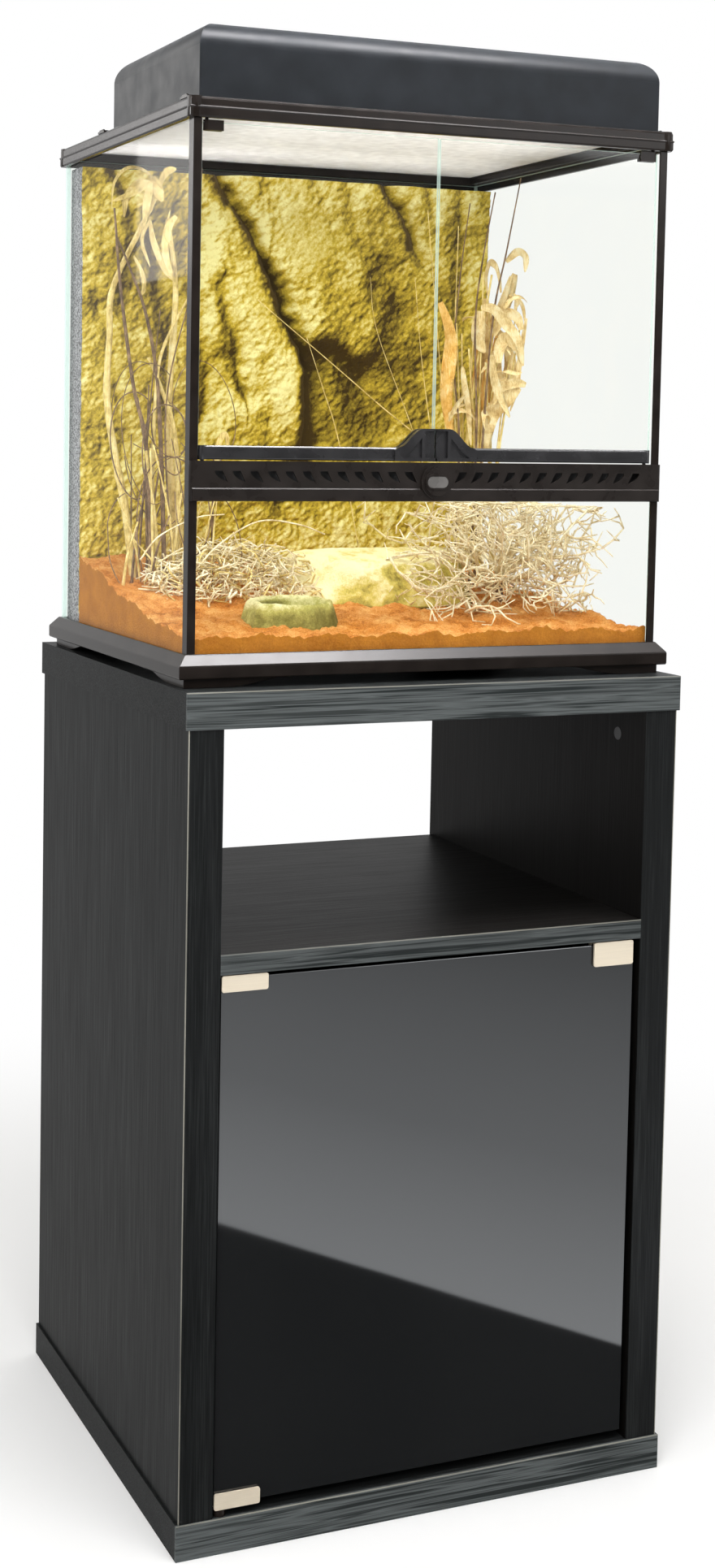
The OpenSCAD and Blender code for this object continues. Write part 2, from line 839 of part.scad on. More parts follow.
module front_window() {
    inside = half_w - wall_t - fit;
    color(clear_glass) in_tank() translate([-inside, window_front, ledge_z])
        cube([2 * inside, wall_t, window_top - ledge_z]);
}

// L-shaped post over a front corner of the glass box
module corner_post() {
    post_out = half_w + 1;
    color(dark_plastic) in_tank() {
        translate([post_inner, post_front, base_top]) cube([post_w, post_t, rim_z - base_top]);
        translate([half_w, post_front, base_top])
            cube([post_out - half_w, 14, rim_z - base_top]);
    }
}

module left_corner_post() {
    mirror([1, 0, 0]) corner_post();
}

module right_corner_post() {
    corner_post();
}

// The vent slots of one side: each leans and runs to a point, with its outer edge curved
module vent_slot(side) {
    half = slot_w / 2 + slot_lean;
    mirror([side, 0, 0]) along_y(bar_front - strip_out - cut, plate_back + cut)
        for (i = [0:slot_count - 1]) translate([slot_first + i * slot_pitch, slot_z])
            polygon(concat([[-half, -slot_h / 2], [slot_lean - slot_w / 2, slot_h / 2]],
                [for (k = [0:5]) let (t = k / 6) [half - 2 * half * pow(t, 2.2), slot_h / 2 - slot_h * t]]));
}

module vent_bar() {
    half = half_w + 2;
    color(dark_plastic) in_tank() difference() {
        union() {
            // face plate with rounded ends, and the smooth strip under it
            translate([-half, bar_front, bar_z]) linear_extrude(bar_h)
                translate([bar_r, 0]) square([2 * half - 2 * bar_r, plate_back - bar_front]);
            for (side = [-1, 1]) intersection() {
                pin_z(side * (half - bar_r), bar_front + bar_r, 2 * bar_r, bar_z, bar_top);
                translate([-half, bar_front, bar_z]) cube([2 * half, plate_back - bar_front, bar_h]);
            }
            along_x(-half + bar_r, half - bar_r) polygon([[bar_front + 1, bar_z],
                [bar_front - strip_out, bar_z + 1], [bar_front - strip_out, bar_z + strip_h - 2],
                [bar_front + 1, bar_z + strip_h]]);
            // body between the posts
            translate([-post_inner + 1, plate_back, bar_z])
                cube([2 * post_inner - 2, bar_back - plate_back, bar_h]);
            // ring round the lock knob
            pin_y(0, knob_z, 2 * (knob_r + knob_ring), bar_front - 3, plate_back);
        }
        translate([-half_w + wall_t, window_front - fit, bar_z - cut])
            cube([glass_w - 2 * wall_t, wall_t + 2 * fit, window_top - bar_z + cut + fit]);
        for (side = [0, 1]) {
            vent_slot(side);
            mirror([side, 0, 0]) translate([vent_x0, plate_back - 1.5, vent_z0])
                cube([vent_x1 - vent_x0, bar_back - plate_back + 1.5 + cut, vent_z1 - vent_z0]);
        }
        pin_y(0, knob_z, 2 * (knob_r + 0.15), bar_front - 3 - cut, bar_front + 2);
        pin_y(0, knob_z, shaft_d + 2 * run, bar_front, bar_back + cut);
        for (side = [-1, 1]) pin_z(side * pivot_door_x, door_pivot_y, door_pin_d + 2 * run,
            bar_top - pin_depth - fit, bar_top + cut);
    }
}

module vent_mesh() {
    color(steel) in_tank() for (side = [0, 1]) mirror([side, 0, 0])
        translate([vent_x0, bar_back - mesh_in - mesh_t, vent_z0])
            cube([vent_x1 - vent_x0, mesh_t, vent_z1 - vent_z0]);
}

module top_frame() {
    color(dark_plastic) in_tank() difference() {
        union() {
            profiled_block(rim_w, rim_d, [[2, rim_z], [1, rim_z + 2], [1, rim_z + ridge_z - 1.5],
                [0, rim_z + ridge_z], [1.5, rim_z + ridge_z + 1.5], [1.5, tank_h - 3],
                [2.2, tank_h - 1], [3.5, tank_h]]);
            for (x = [-1, 1], y = [-1, 1])
                pin_z(x * (rim_w / 2 - boss_r), y * (rim_d / 2 - boss_r), 2 * boss_r, rim_z, tank_h);
        }
        middle_box(glass_w + 2 * fit, glass_d + 2 * fit, rim_z - cut, glass_top_z + fit);
        middle_box(2 * (seat_x - seat_in), 2 * (seat_y - seat_in), rim_z - cut, tank_h + cut);
        middle_box(2 * seat_x, 2 * seat_y, seat_z, tank_h + cut);
        for (side = [-1, 1]) pin_z(side * pivot_door_x, door_pivot_y, door_pin_d + 2 * run,
            glass_top_z, seat_z - 1);
        for (side = [0, 1], y = latch_ys) mirror([side, 0, 0])
            translate([stem_x - latch_travel - fit, y - latch_stem_l / 2 - fit, tank_h - latch_stem_h - fit])
                cube([latch_stem_t + latch_travel + 2 * fit, latch_stem_l + 2 * fit,
                    latch_stem_h + fit + cut]);
    }
}

// ---- Furnishing ----

// Rock relief in shares of its half width, its height and the depth of its foot. Each ridge is
// [place at the top, place at the floor, half width, height]
ridges = [[-0.93, -0.8, 0.1, 0.26], [-0.82, -0.4, 0.05, -0.32], [-0.6, -0.48, 0.12, 0.24],
    [-0.3, 0.12, 0.17, 0.42], [-0.37, 0.53, 0.045, -0.5], [-0.04, 0.74, 0.15, 0.3],
    [0.24, 0.98, 0.09, 0.2], [0.42, 1.24, 0.035, -0.34], [0.62, 1.35, 0.1, 0.26], [0.9, 1.5, 0.07, 0.2]];
function ridge_sum(s, u, i = 0) = i >= len(ridges) ? 0
    : let (r = ridges[i], d = (s - mix(r[1], r[0], u) - 0.04 * sin(300 * u)) / r[2])
        r[3] * exp(-d * d) + ridge_sum(s, u, i + 1);
function rock_relief(s, u) =
    0.6 + ridge_sum(s, u) + 0.06 * sin(880 * s + 990 * u) + 0.06 * sin(370 * s - 1690 * u);
function rock_depth(s, u) = rock_foot
    * mix(1, min(1.24, max(0.32, rock_relief(s, u))), smooth(foot_share, foot_share + 0.09, u));
rock_cols = 22;
rock_rows = 20;
rock_x = half_w - wall_t - 1;
rock_top = rim_z - 4;
foot_share = (sand_left + 8 - floor_top) / (rock_top - floor_top);  // height of the plain foot

module rock_background() {
    // the grid stands on edge: its rows go up, and its heights face the front
    color(rock_yellow) in_tank() translate([0, rock_y, 0]) rotate([90, 0, 0])
        grid_block([for (i = [0:rock_rows - 1]) let (u = i / (rock_rows - 1))
            [for (j = [0:rock_cols - 1]) let (s = 2 * j / (rock_cols - 1) - 1)
                [s * rock_x, mix(floor_top, rock_top, u), rock_depth(s, u)]]], 0);
}

// Sand height over the tank's lower edge: it lies level at the front and climbs to the back
function sand_z(x, y) = let (v = max(0, (y - sand_y0) / (sand_y1 - sand_y0)), s = x / sand_x)
    mix(sand_front, mix(sand_left, sand_right, (s + 1) / 2), pow(v, 1.5))
        + sand_front * (0.045 * sin(600 * s + 40) * sin(1050 * v) + 0.03 * sin(1500 * s - 1200 * v));
sand_cols = 22;
sand_rows = 14;

module sand_bed() {
    color(sand_orange) in_tank() difference() {
        grid_block([for (i = [0:sand_rows - 1]) let (y = mix(sand_y0, sand_y1, i / (sand_rows - 1)))
            [for (j = [0:sand_cols - 1]) let (x = mix(-sand_x, sand_x, j / (sand_cols - 1)))
                [x, y, sand_z(x, y)]]], floor_top);
        translate([cave_at[0], cave_at[1], cave_seat]) linear_extrude(sand_left)
            polygon(rock_ring(cave_w / 2 + 2, cave_d / 2 + 2, 0));
        translate([dish_at[0], dish_at[1], dish_seat]) linear_extrude(sand_left)
            polygon(dish_ring(dish_w / 2 + fit));
        for (s = concat(stalks, stems)) at_root(s) cylinder(d = s[5] + 2 * fit, h = root_hole, $fn = 8);
        for (p = [left_bush_at, right_bush_at]) pin_z(p[0], p[1], bush_hub_d + 2 * fit,
            sand_z(p[0], p[1]) - stalk_sink, sand_left + sand_front);
    }
}

// Uneven oval outline for the rocks
function rock_ring(rx, ry, phase) = [for (a = [0:20:340])
    let (k = 0.92 - 0.05 * sin(a * 3 + phase) - 0.03 * cos(a * 5 + 2 * phase))
        [rx * k * cos(a), ry * k * sin(a)]];
function lift(ring, z, tilt = 0, lean = 0) =
    [for (p = ring) [p[0], p[1], z + tilt * p[0] + lean * p[1]]];

module cave_rock() {
    color(rock_yellow) in_tank() translate([cave_at[0], cave_at[1], cave_seat]) difference() {
        ring_skin([
            lift(rock_ring(cave_w / 2, cave_d / 2, 0), 0),
            lift(rock_ring(cave_w / 2 - 3, cave_d / 2 - 3, 20), cave_h * 0.3),
            lift(rock_ring(cave_w * 0.43, cave_d * 0.43, 50), cave_h * 0.66),
            lift(rock_ring(cave_w * 0.34, cave_d * 0.34, 70), cave_h * 0.9, -0.05, 0.04),
            lift(rock_ring(cave_w * 0.22, cave_d * 0.22, 70), cave_h)]);
        // hollow and its mouth, at the right end
        translate([0, 0, -cut])
            cylinder(r1 = cave_d * 0.36, r2 = cave_d * 0.3, h = cave_h * 0.6 + cut, $fn = 12);
        translate([0, -cave_d * 0.2, -cut]) cube([cave_w / 2, cave_d * 0.4, cave_h * 0.5 + cut]);
    }
}

function dish_ring(r) = [for (a = [0:18:342])
    let (k = 0.94 - 0.04 * sin(a * 4 + 30) - 0.02 * cos(a * 7)) [r * k * cos(a), 0.72 * r * k * sin(a)]];

module water_dish() {
    r = dish_w / 2;
    color(rock_yellow) in_tank() translate([dish_at[0], dish_at[1], dish_seat]) difference() {
        ring_skin([lift(dish_ring(r), 0), lift(dish_ring(r * 0.97), dish_h * 0.5, 0.02),
            lift(dish_ring(r * 0.9), dish_h * 0.92, 0.03), lift(dish_ring(r * 0.86), dish_h)]);
        ring_skin([lift(dish_ring(r * 0.45), 6), lift(dish_ring(r * 0.66), dish_h * 0.55),
            lift(dish_ring(r * 0.72), dish_h + 4)]);
    }
}

// Dried stalks: [place to the right, place to the back, share of the tallest length,
// lean to the right, lean to the back, diameter]
stalks = [[-0.92, 0.37, 0.94, -1, 4, 7], [-0.86, 0.27, 0.78, -2, 3, 8], [-0.81, 0.51, 1, 2, 4, 9],
    [-0.76, 0.35, 0.9, 1, 6, 8], [-0.7, 0.54, 0.98, 3, 3, 8], [-0.65, 0.4, 0.6, 5, 3, 6],
    [-0.88, 0.55, 0.86, 0, 2, 7]];

// Places children at the root of a plant's stem, with +Z along the stem
module at_root(s) {
    p = in_sand(s);
    translate([p[0], p[1], sand_z(p[0], p[1]) - stalk_sink]) rotate([-s[4], s[3], 0]) children();
}

// A stalk in three straight lengths, each thinner than the last
module left_stalks() {
    color(straw) in_tank() for (s = stalks) at_root(s) {
        h = s[2] * stalk_h;
        cylinder(d = s[5], h = h * 0.45, $fn = 8);
        translate([0, 0, h * 0.45]) cylinder(d = s[5] * 0.8, h = h * 0.3, $fn = 8);
        translate([0, 0, h * 0.75]) cylinder(d = s[5] * 0.5, h = h * 0.25, $fn = 8);
    }
}

// Dried grass stems, written as the stalks are
stems = [[0.69, 0.32, 0.73, -9, 3, 3.4], [0.73, 0.39, 0.86, -4, 2, 3.4], [0.77, 0.31, 0.9, 1, 3, 3.4],
    [0.81, 0.41, 0.79, 4, 1, 3.4], [0.85, 0.33, 0.66, 6, 4, 3.4]];
// Their leaves: [stem, share of the stem's length, direction, share of the leaf's length]
leaves = [[0, 0.45, 175, 1], [0, 0.65, 190, 1.1], [0, 0.86, 165, 0.87], [1, 0.49, 95, 0.9],
    [1, 0.69, 80, 1], [1, 0.88, 110, 0.78], [2, 0.4, -95, 1.08], [2, 0.61, -80, 1.17],
    [2, 0.82, -100, 0.95], [3, 0.57, 85, 0.87], [3, 0.83, 70, 0.78], [4, 0.52, -85, 0.95],
    [4, 0.78, -100, 1]];

// Flat blade along +X that rises and then droops
module leaf(reach, rise) {
    steps = 5;
    ring_skin([for (i = [0:steps]) let (t = i / steps, x = reach * t, z = rise * sin(140 * t),
        w = 0.8 + 5 * sin(180 * pow(t, 0.8))) [[x, -w, z], [x, 0, z - 0.6], [x, w, z], [x, 0, z + 0.6]]]);
}

module right_grass() {
    color(straw) in_tank() {
        for (s = stems) at_root(s) cylinder(d = s[5], h = s[2] * stalk_h, $fn = 6);
        for (l = leaves) let (s = stems[l[0]]) at_root(s)
            translate([0, 0, l[1] * s[2] * stalk_h]) rotate([0, 0, l[2]])
                leaf(l[3] * leaf_l, 0.52 * l[3] * leaf_l);
    }
}

// Twig bush: straight twigs leave the stump one above the other, longest towards one side
bush_hub_d = 12;
twig_d = 3;
twig_step = 1.5;                                // height from one twig to the next
golden = 137.5;                                 // turn from one twig to the next

module twig_bush(p, count, reach, low, longest, share) {
    root = sand_z(p[0], p[1]);
    hub = root + low;
    pin_z(p[0], p[1], bush_hub_d, root - stalk_sink, hub + count * twig_step);
    for (i = [0:count - 1]) {
        t = (i + 0.5) / count;
        turn = i * golden;
        length = reach * (1 + share * cos(turn - longest)) * (1 - 0.2 * t);
        translate([p[0], p[1], hub + i * twig_step]) rotate([0, 0, turn])
            translate([bush_hub_d / 2 - 2.5, 0, 0]) rotate([0, 90 - mix(22, 72, t), 0])
                cylinder(d = twig_d, h = length, $fn = 5);
    }
}

module left_twig_bush() {
    color(twig_pale) in_tank() twig_bush(left_bush_at, 20, bush_reach * 0.46, 20, -10, 0.15);
}

module right_twig_bush() {
    color(twig_pale) in_tank() twig_bush(right_bush_at, 26, bush_reach * 0.62, 34, 190, 0.4);
}

// ---- Tank doors ----

// The right-hand door; the left one is its mirror image
module door_glass() {
    color(clear_glass) in_tank()
        translate([door_gap / 2, door_pivot_y - door_t / 2, glass_seat])
            cube([pivot_door_x + door_glass_edge - door_gap / 2, door_t, door_top - 2 - glass_seat]);
}

module door_rail() {
    color(dark_plastic) in_tank() difference() {
        union() {
            along_x(door_gap / 2, pivot_door_x) translate([rail_front, rail_z])
                round_rect(rail_t, rail_h, 2.5);
            pin_z(pivot_door_x, door_pivot_y, rail_t, rail_z, rail_top);
            // half of the domed handle
            intersection() {
                along_y(rail_front - dome_out, rail_front + rail_t) translate([0, rail_top - 3])
                    polygon(concat([[0, -rail_h + 3]], [[dome_w / 2 + 4, -rail_h + 3]],
                        [[dome_w / 2 + 4, 0]], s_curve(dome_w / 2, dome_flat / 2, 3, dome_h + 3, 8),
                        [[0, dome_h + 3]]));
                translate([door_gap / 2, rail_front - dome_out, rail_z])
                    cube([dome_w, rail_t + dome_out, rail_h + dome_h]);
            }
            pin_z(pivot_door_x, door_pivot_y, door_pin_d, bar_top - pin_depth, rail_z + 2);
        }
        // slot for the glass
        translate([0, door_pivot_y - door_t / 2, glass_seat])
            cube([pivot_door_x + door_glass_edge + fit, door_t, rail_h + dome_h]);
        // finger recesses in the handle
        translate([-cut, rail_front - dome_out - cut, rail_z + 4])
            cube([dome_flat / 2 - 2 + cut, 3.5 + cut, rail_h + dome_h - 6.5]);
        translate([dome_flat / 2 + 2, rail_front - dome_out - cut, rail_z + 4]) along_y(0, 3 + cut)
            polygon([[0, 0], [24, 0], [14, 7], [0, 22]]);
    }
}

module door_shoe() {
    w = door_t + 2 * shoe_t;
    color(dark_plastic) in_tank() difference() {
        union() {
            translate([pivot_door_x - shoe_l, door_pivot_y - w / 2, door_top - shoe_h])
                cube([shoe_l, w, shoe_h]);
            pin_z(pivot_door_x, door_pivot_y, w, door_top - shoe_h, door_top);
            pin_z(pivot_door_x, door_pivot_y, door_pin_d, door_top - 1, seat_z - 1 - fit);
        }
        translate([pivot_door_x - shoe_l - cut, door_pivot_y - door_t / 2, door_top - shoe_h - cut])
            cube([shoe_l + cut + door_glass_edge, door_t, shoe_h - 2 + cut]);
    }
}

module left_door_glass() {
    mirror([1, 0, 0]) door_glass();
}

module right_door_glass() {
    door_glass();
}

module left_door_rail() {
    mirror([1, 0, 0]) door_rail();
}

module right_door_rail() {
    door_rail();
}

module left_door_shoe() {
    mirror([1, 0, 0]) door_shoe();
}

module right_door_shoe() {
    door_shoe();
}

module knob_oval(w, h, y0, y1) {
    translate([-(w - h) / 2, 0, knob_z]) along_y(y0, y1) {
        circle(d = h);
        translate([w - h, 0]) circle(d = h);
        translate([0, -h / 2]) square([w - h, h]);
    }
}

module lock_knob() {
    face = bar_front - knob_out;
    color(dark_plastic) in_tank() difference() {
        union() {
            pin_y(0, knob_z, 2 * knob_r, face + 1.5, bar_front + 2 - fit);
            pin_y(0, knob_z, 2 * knob_r - 3, face, face + 2);
            knob_oval(30, 17, face - 1, face + 1);
            pin_y(0, knob_z, shaft_d, bar_front, bar_back + 3);
            // cam on the shaft's inner end
            translate([-5, bar_back + fit, knob_z - 12]) cube([10, 2.7, 16]);
        }
        knob_oval(26, 13, face - 1 - cut, face + 0.6);
    }
}

module lock_badge() {
    face = bar_front - knob_out;
    color(steel) in_tank() knob_oval(25.6, 12.6, face - 0.4, face + 0.6);
}

// ---- Screen cover ----

module screen_frame() {
    color(dark_plastic) in_tank() difference() {
        middle_box(2 * (seat_x - fit), 2 * (seat_y - fit), seat_z, screen_top);
        middle_box(2 * (seat_x - fit - screen_border), 2 * (seat_y - fit - screen_border),
            seat_z - cut, screen_top + cut);
        middle_box(2 * (seat_x - fit - screen_border + mesh_grip),
            2 * (seat_y - fit - screen_border + mesh_grip), mesh_z, mesh_z + mesh_t);
    }
}

// Coarse grid that stands for the woven wire
module screen_mesh() {
    w = 2 * (seat_x - screen_border + mesh_grip - fit);
    d = 2 * (seat_y - screen_border + mesh_grip - fit);
    px = (w - mesh_bar) / grid_cols;
    py = (d - mesh_bar) / grid_rows;
    color(steel) in_tank() difference() {
        middle_box(w, d, mesh_z, mesh_z + mesh_t);
        for (i = [0:grid_cols - 1], j = [0:grid_rows - 1])
            translate([i * px + mesh_bar - w / 2, j * py + mesh_bar - d / 2, mesh_z - cut])
                cube([px - mesh_bar, py - mesh_bar, mesh_t + 2 * cut]);
    }
}

module screen_latch(y) {
    color(dark_plastic) in_tank() {
        translate([latch_inner, y - latch_l / 2, latch_base_z]) cube([latch_plate_w, latch_l, latch_t]);
        translate([latch_inner + latch_plate_w - 2.5, y - latch_l / 2 + 4, latch_base_z + latch_t])
            cube([2, latch_l - 8, 1.5]);
        translate([stem_x, y - latch_stem_l / 2, latch_base_z - latch_stem_h])
            cube([latch_stem_t, latch_stem_l, latch_stem_h]);
    }
}

module front_left_latch() {
    mirror([1, 0, 0]) screen_latch(latch_ys[0]);
}

module rear_left_latch() {
    mirror([1, 0, 0]) screen_latch(latch_ys[1]);
}

module front_right_latch() {
    screen_latch(latch_ys[0]);
}

module rear_right_latch() {
    screen_latch(latch_ys[1]);
}

// ---- Canopy ----

// Closed form of the canopy with its upper edges rounded, shrunk by t on every side
module canopy_form(t, below) {
    w = canopy_w - 2 * t;
    d = canopy_d - 2 * t;
    h = canopy_h - t + below;
    r = max(1, canopy_r - t);
    translate([0, 0, screen_top - below]) intersection() {
        along_y(-d / 2, d / 2) translate([-w / 2, 0]) top_round(w, h, r);
        along_x(-w / 2, w / 2) translate([-d / 2, 0]) top_round(d, h, r);
    }
}

module top_round(w, h, r) {
    square([w, h - r]);
    translate([r, 0]) square([w - 2 * r, h]);
    for (x = [r, w - r]) translate([x, h - r]) circle(r);
}

module in_canopy() {
    in_tank() translate([0, canopy_y, 0]) children();
}

module canopy_shell() {
    color(canopy_black) in_canopy() difference() {
        canopy_form(0, 0);
        canopy_form(canopy_t, cut);
        pin_y(gland_at[0], gland_at[1], gland_d + 2 * run, canopy_d / 2 - canopy_t - cut, canopy_d / 2 + cut);
    }
}

module canopy_reflector() {
    x = canopy_w / 2 - canopy_t - reflector_end;
    w = reflector_w / 2;
    color(steel) in_canopy() {
        along_x(-x, x) polygon([[-w, reflector_z], [w, reflector_z],
            [w + reflector_flare, reflector_z - reflector_h],
            [w + reflector_flare - reflector_t, reflector_z - reflector_h],
            [w - reflector_t, reflector_z - reflector_t], [-w + reflector_t, reflector_z - reflector_t],
            [-w - reflector_flare + reflector_t, reflector_z - reflector_h],
            [-w - reflector_flare, reflector_z - reflector_h]]);
        for (side = [-1, 1]) translate([side * x * 0.6 - 10, -w * 0.6, reflector_z - reflector_t / 2])
            cube([20, reflector_w * 0.6, reflector_gap + reflector_t / 2]);
    }
}

// Places children at each lamp, with +X from the socket to the bulb
module at_lamps() {
    for (i = [0:lamp_count - 1])
        translate([(i - (lamp_count - 1) / 2) * lamp_pitch - lamp_l / 2, 0, lamp_z])
            rotate([0, 90, 0]) children();
}

module lamp_sockets() {
    color("white") in_canopy() at_lamps() difference() {
        union() {
            cylinder(d = socket_d, h = socket_l);
            translate([-lamp_drop, -8, 2]) cube([lamp_drop, 16, socket_l - 6]);
        }
        translate([0, 0, socket_l - bulb_base_l - fit])
            cylinder(d = bulb_base_d + 2 * fit, h = bulb_base_l + fit + cut);
    }
}

module lamp_bulbs() {
    neck = 8;
    color("ivory") in_canopy() at_lamps() translate([0, 0, socket_l - bulb_base_l]) {
        cylinder(d = bulb_base_d, h = bulb_base_l + neck);
        translate([0, 0, bulb_base_l + neck]) cylinder(d1 = bulb_base_d, d2 = bulb_d, h = 18);
        translate([0, 0, bulb_base_l + neck + 18])
            cylinder(d = bulb_d, h = bulb_l - bulb_base_l - neck - 18 - bulb_d / 2);
        translate([0, 0, bulb_l - bulb_d / 2]) sphere(d = bulb_d);
    }
}

module cord_gland() {
    color(dark_plastic) in_canopy() difference() {
        union() {
            pin_y(gland_at[0], gland_at[1], gland_d, canopy_d / 2 - canopy_t - 2, canopy_d / 2 + gland_l);
            pin_y(gland_at[0], gland_at[1], gland_d + 6, canopy_d / 2, canopy_d / 2 + 3);
        }
        pin_y(gland_at[0], gland_at[1], gland_bore_d, canopy_d / 2 - canopy_t - 2 - cut,
            canopy_d / 2 + gland_l + cut);
    }
}

top_board();
bottom_board();
left_side_panel();
right_side_panel();
middle_shelf();
back_panel();
joint_dowels();
cam_bolts();
cam_locks();
wall_bumpers();
hinge_bushes();
latch_housing();
latch_screws();
latch_plunger();
smoked_glass_door();
upper_hinge_clamp();
lower_hinge_clamp();
clamp_screws();
clamp_pads();
catch_plate();
base_frame();
floor_pane();
left_pane();
right_pane();
back_pane();
front_window();
left_corner_post();
right_corner_post();
vent_bar();
vent_mesh();
top_frame();
rock_background();
sand_bed();
cave_rock();
water_dish();
left_stalks();
right_grass();
left_twig_bush();
right_twig_bush();
left_door_glass();
left_door_rail();
left_door_shoe();
right_door_glass();
right_door_rail();
right_door_shoe();
lock_knob();
lock_badge();
screen_frame();
screen_mesh();
front_left_latch();
rear_left_latch();
front_right_latch();
rear_right_latch();
canopy_shell();
canopy_reflector();
lamp_sockets();
lamp_bulbs();
cord_gland();
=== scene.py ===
import math
import random
import bmesh
import bpy
import numpy as np
from mathutils import Matrix, Vector, noise


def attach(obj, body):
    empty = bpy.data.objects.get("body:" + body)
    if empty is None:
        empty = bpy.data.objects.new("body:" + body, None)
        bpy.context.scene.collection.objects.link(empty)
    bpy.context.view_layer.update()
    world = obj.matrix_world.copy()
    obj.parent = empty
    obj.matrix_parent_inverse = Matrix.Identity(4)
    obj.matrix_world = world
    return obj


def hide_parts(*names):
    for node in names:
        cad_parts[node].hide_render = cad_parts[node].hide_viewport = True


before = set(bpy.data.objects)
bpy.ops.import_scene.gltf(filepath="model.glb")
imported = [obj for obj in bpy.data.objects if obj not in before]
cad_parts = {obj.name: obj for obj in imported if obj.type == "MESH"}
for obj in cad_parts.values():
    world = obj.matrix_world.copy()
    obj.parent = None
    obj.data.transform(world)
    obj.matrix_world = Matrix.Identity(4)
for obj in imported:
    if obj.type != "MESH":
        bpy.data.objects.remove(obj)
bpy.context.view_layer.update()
print("solids loaded:", len(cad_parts))

mm = 0.001
tankFloor = Vector((0, 0.001, 0.945))  # middle of the tank's base, on the cabinet


def inTank(x, y, z):  # a place in the tank in millimetres, as a point of the frame
    return tankFloor + Vector((x, y, z)) * mm


def smooth(low, high, value):
    t = min(1.0, max(0.0, (value - low) / (high - low)))
    return t * t * (3 - 2 * t)


def blendValues(a, b, t):
    return a + (b - a) * t


def newObject(name, data):
    made = bpy.data.objects.new(name, data)
    bpy.context.scene.collection.objects.link(made)
    return made


# camera, matched to the tank's and the cabinet's corners in the photograph

photoCamera = {
    "place": (-1.0528, -2.2288, 1.2171),
    "yaw": 21.0105, "pitch": -3.8436, "roll": 0.8093,  # degrees
    "focal": 2484.04, "centre": (240, 700),  # photo pixels
    "frame": (880, 1930), "sensor": 36,
}


def makeCamera():
    settings = photoCamera
    data = bpy.data.cameras.new("photoCamera")
    camera = newObject("photoCamera", data)
    turn = Matrix.Rotation(-math.radians(settings["yaw"]), 4, "Z")
    tilt = Matrix.Rotation(math.radians(90 + settings["pitch"]), 4, "X")
    roll = Matrix.Rotation(math.radians(settings["roll"]), 4, "Z")
    camera.matrix_world = Matrix.Translation(settings["place"]) @ turn @ tilt @ roll
    width, height = settings["frame"]
    data.sensor_fit = "VERTICAL"
    data.sensor_height = settings["sensor"]
    data.lens = settings["focal"] * settings["sensor"] / height
    data.shift_x = (width / 2 - settings["centre"][0]) / height
    data.shift_y = (settings["centre"][1] - height / 2) / height
    bpy.context.scene.camera = camera


makeCamera()


# node helpers

def startMaterial(name):
    material = bpy.data.materials.new(name)
    material.use_nodes = True
    return material, material.node_tree, material.node_tree.nodes["Principled BSDF"]


def addNode(tree, kind, inputs=None, **settings):
    node = tree.nodes.new(kind)
    for key, value in settings.items():
        setattr(node, key, value)
    for socket, value in (inputs or {}).items():
        if isinstance(value, bpy.types.NodeSocket):
            tree.links.new(value, node.inputs[socket])
        else:
            node.inputs[socket].default_value = value
    return node


def place(tree, scale=(1, 1, 1)):  # the piece's own coordinates, stretched
    coordinates = addNode(tree, "ShaderNodeTexCoord")
    mapping = addNode(tree, "ShaderNodeMapping", {"Vector": coordinates.outputs["Object"], "Scale": scale})
    return mapping.outputs["Vector"]


def axesOf(tree, kind="Object"):  # x, y and z of the piece's own coordinates, or of its "Normal"
    coordinates = addNode(tree, "ShaderNodeTexCoord")
    split = addNode(tree, "ShaderNodeSeparateXYZ", {"Vector": coordinates.outputs[kind]})
    return [split.outputs[axis] for axis in "XYZ"]


def noiseOf(tree, vector, scale, detail=3.0, rough=0.5, twist=0.0):
    node = addNode(tree, "ShaderNodeTexNoise", {"Vector": vector, "Scale": scale, "Detail": detail,
                                               "Roughness": rough, "Distortion": twist})
    return node.outputs["Fac"]


def rampOf(tree, value, *stops):  # each stop is (position, colour or grey)
    node = addNode(tree, "ShaderNodeValToRGB", {"Fac": value})
    ramp = node.color_ramp
    while len(ramp.elements) < len(stops):
        ramp.elements.new(0.5)
    for element, (position, colour) in zip(ramp.elements, stops):
        element.position = position
        grey = isinstance(colour, (int, float))
        element.color = (colour, colour, colour, 1) if grey else (*colour, 1)
    return node.outputs["Color"]


def mixOf(tree, factor, a, b, kind="MIX"):
    node = addNode(tree, "ShaderNodeMix", data_type="RGBA", blend_type=kind)
    for socket, value in ((0, factor), (6, a), (7, b)):
        if isinstance(value, bpy.types.NodeSocket):
            tree.links.new(value, node.inputs[socket])
        elif socket == 0:
            node.inputs[socket].default_value = value
        else:
            node.inputs[socket].default_value = (*value, 1)
    return node.outputs[2]


def mathOf(tree, operation, *values):
    node = addNode(tree, "ShaderNodeMath", operation=operation)
    for index, value in enumerate(values):
        if isinstance(value, bpy.types.NodeSocket):
            tree.links.new(value, node.inputs[index])
        else:
            node.inputs[index].default_value = value
    return node.outputs[0]


def times(tree, a, b):
    return mathOf(tree, "MULTIPLY", a, b)


def plus(tree, a, b):
    return mathOf(tree, "ADD", a, b)


def tinted(tree, a, b):  # two colours, multiplied
    return mixOf(tree, 1.0, a, b, "MULTIPLY")


def directRays(tree):  # 1 for rays from the camera, a mirror or a pane, 0 for the light that falls on things
    rays = addNode(tree, "ShaderNodeLightPath")
    return mathOf(tree, "MAXIMUM", rays.outputs["Is Camera Ray"],
                  mathOf(tree, "MAXIMUM", rays.outputs["Is Glossy Ray"], rays.outputs["Is Transmission Ray"]))


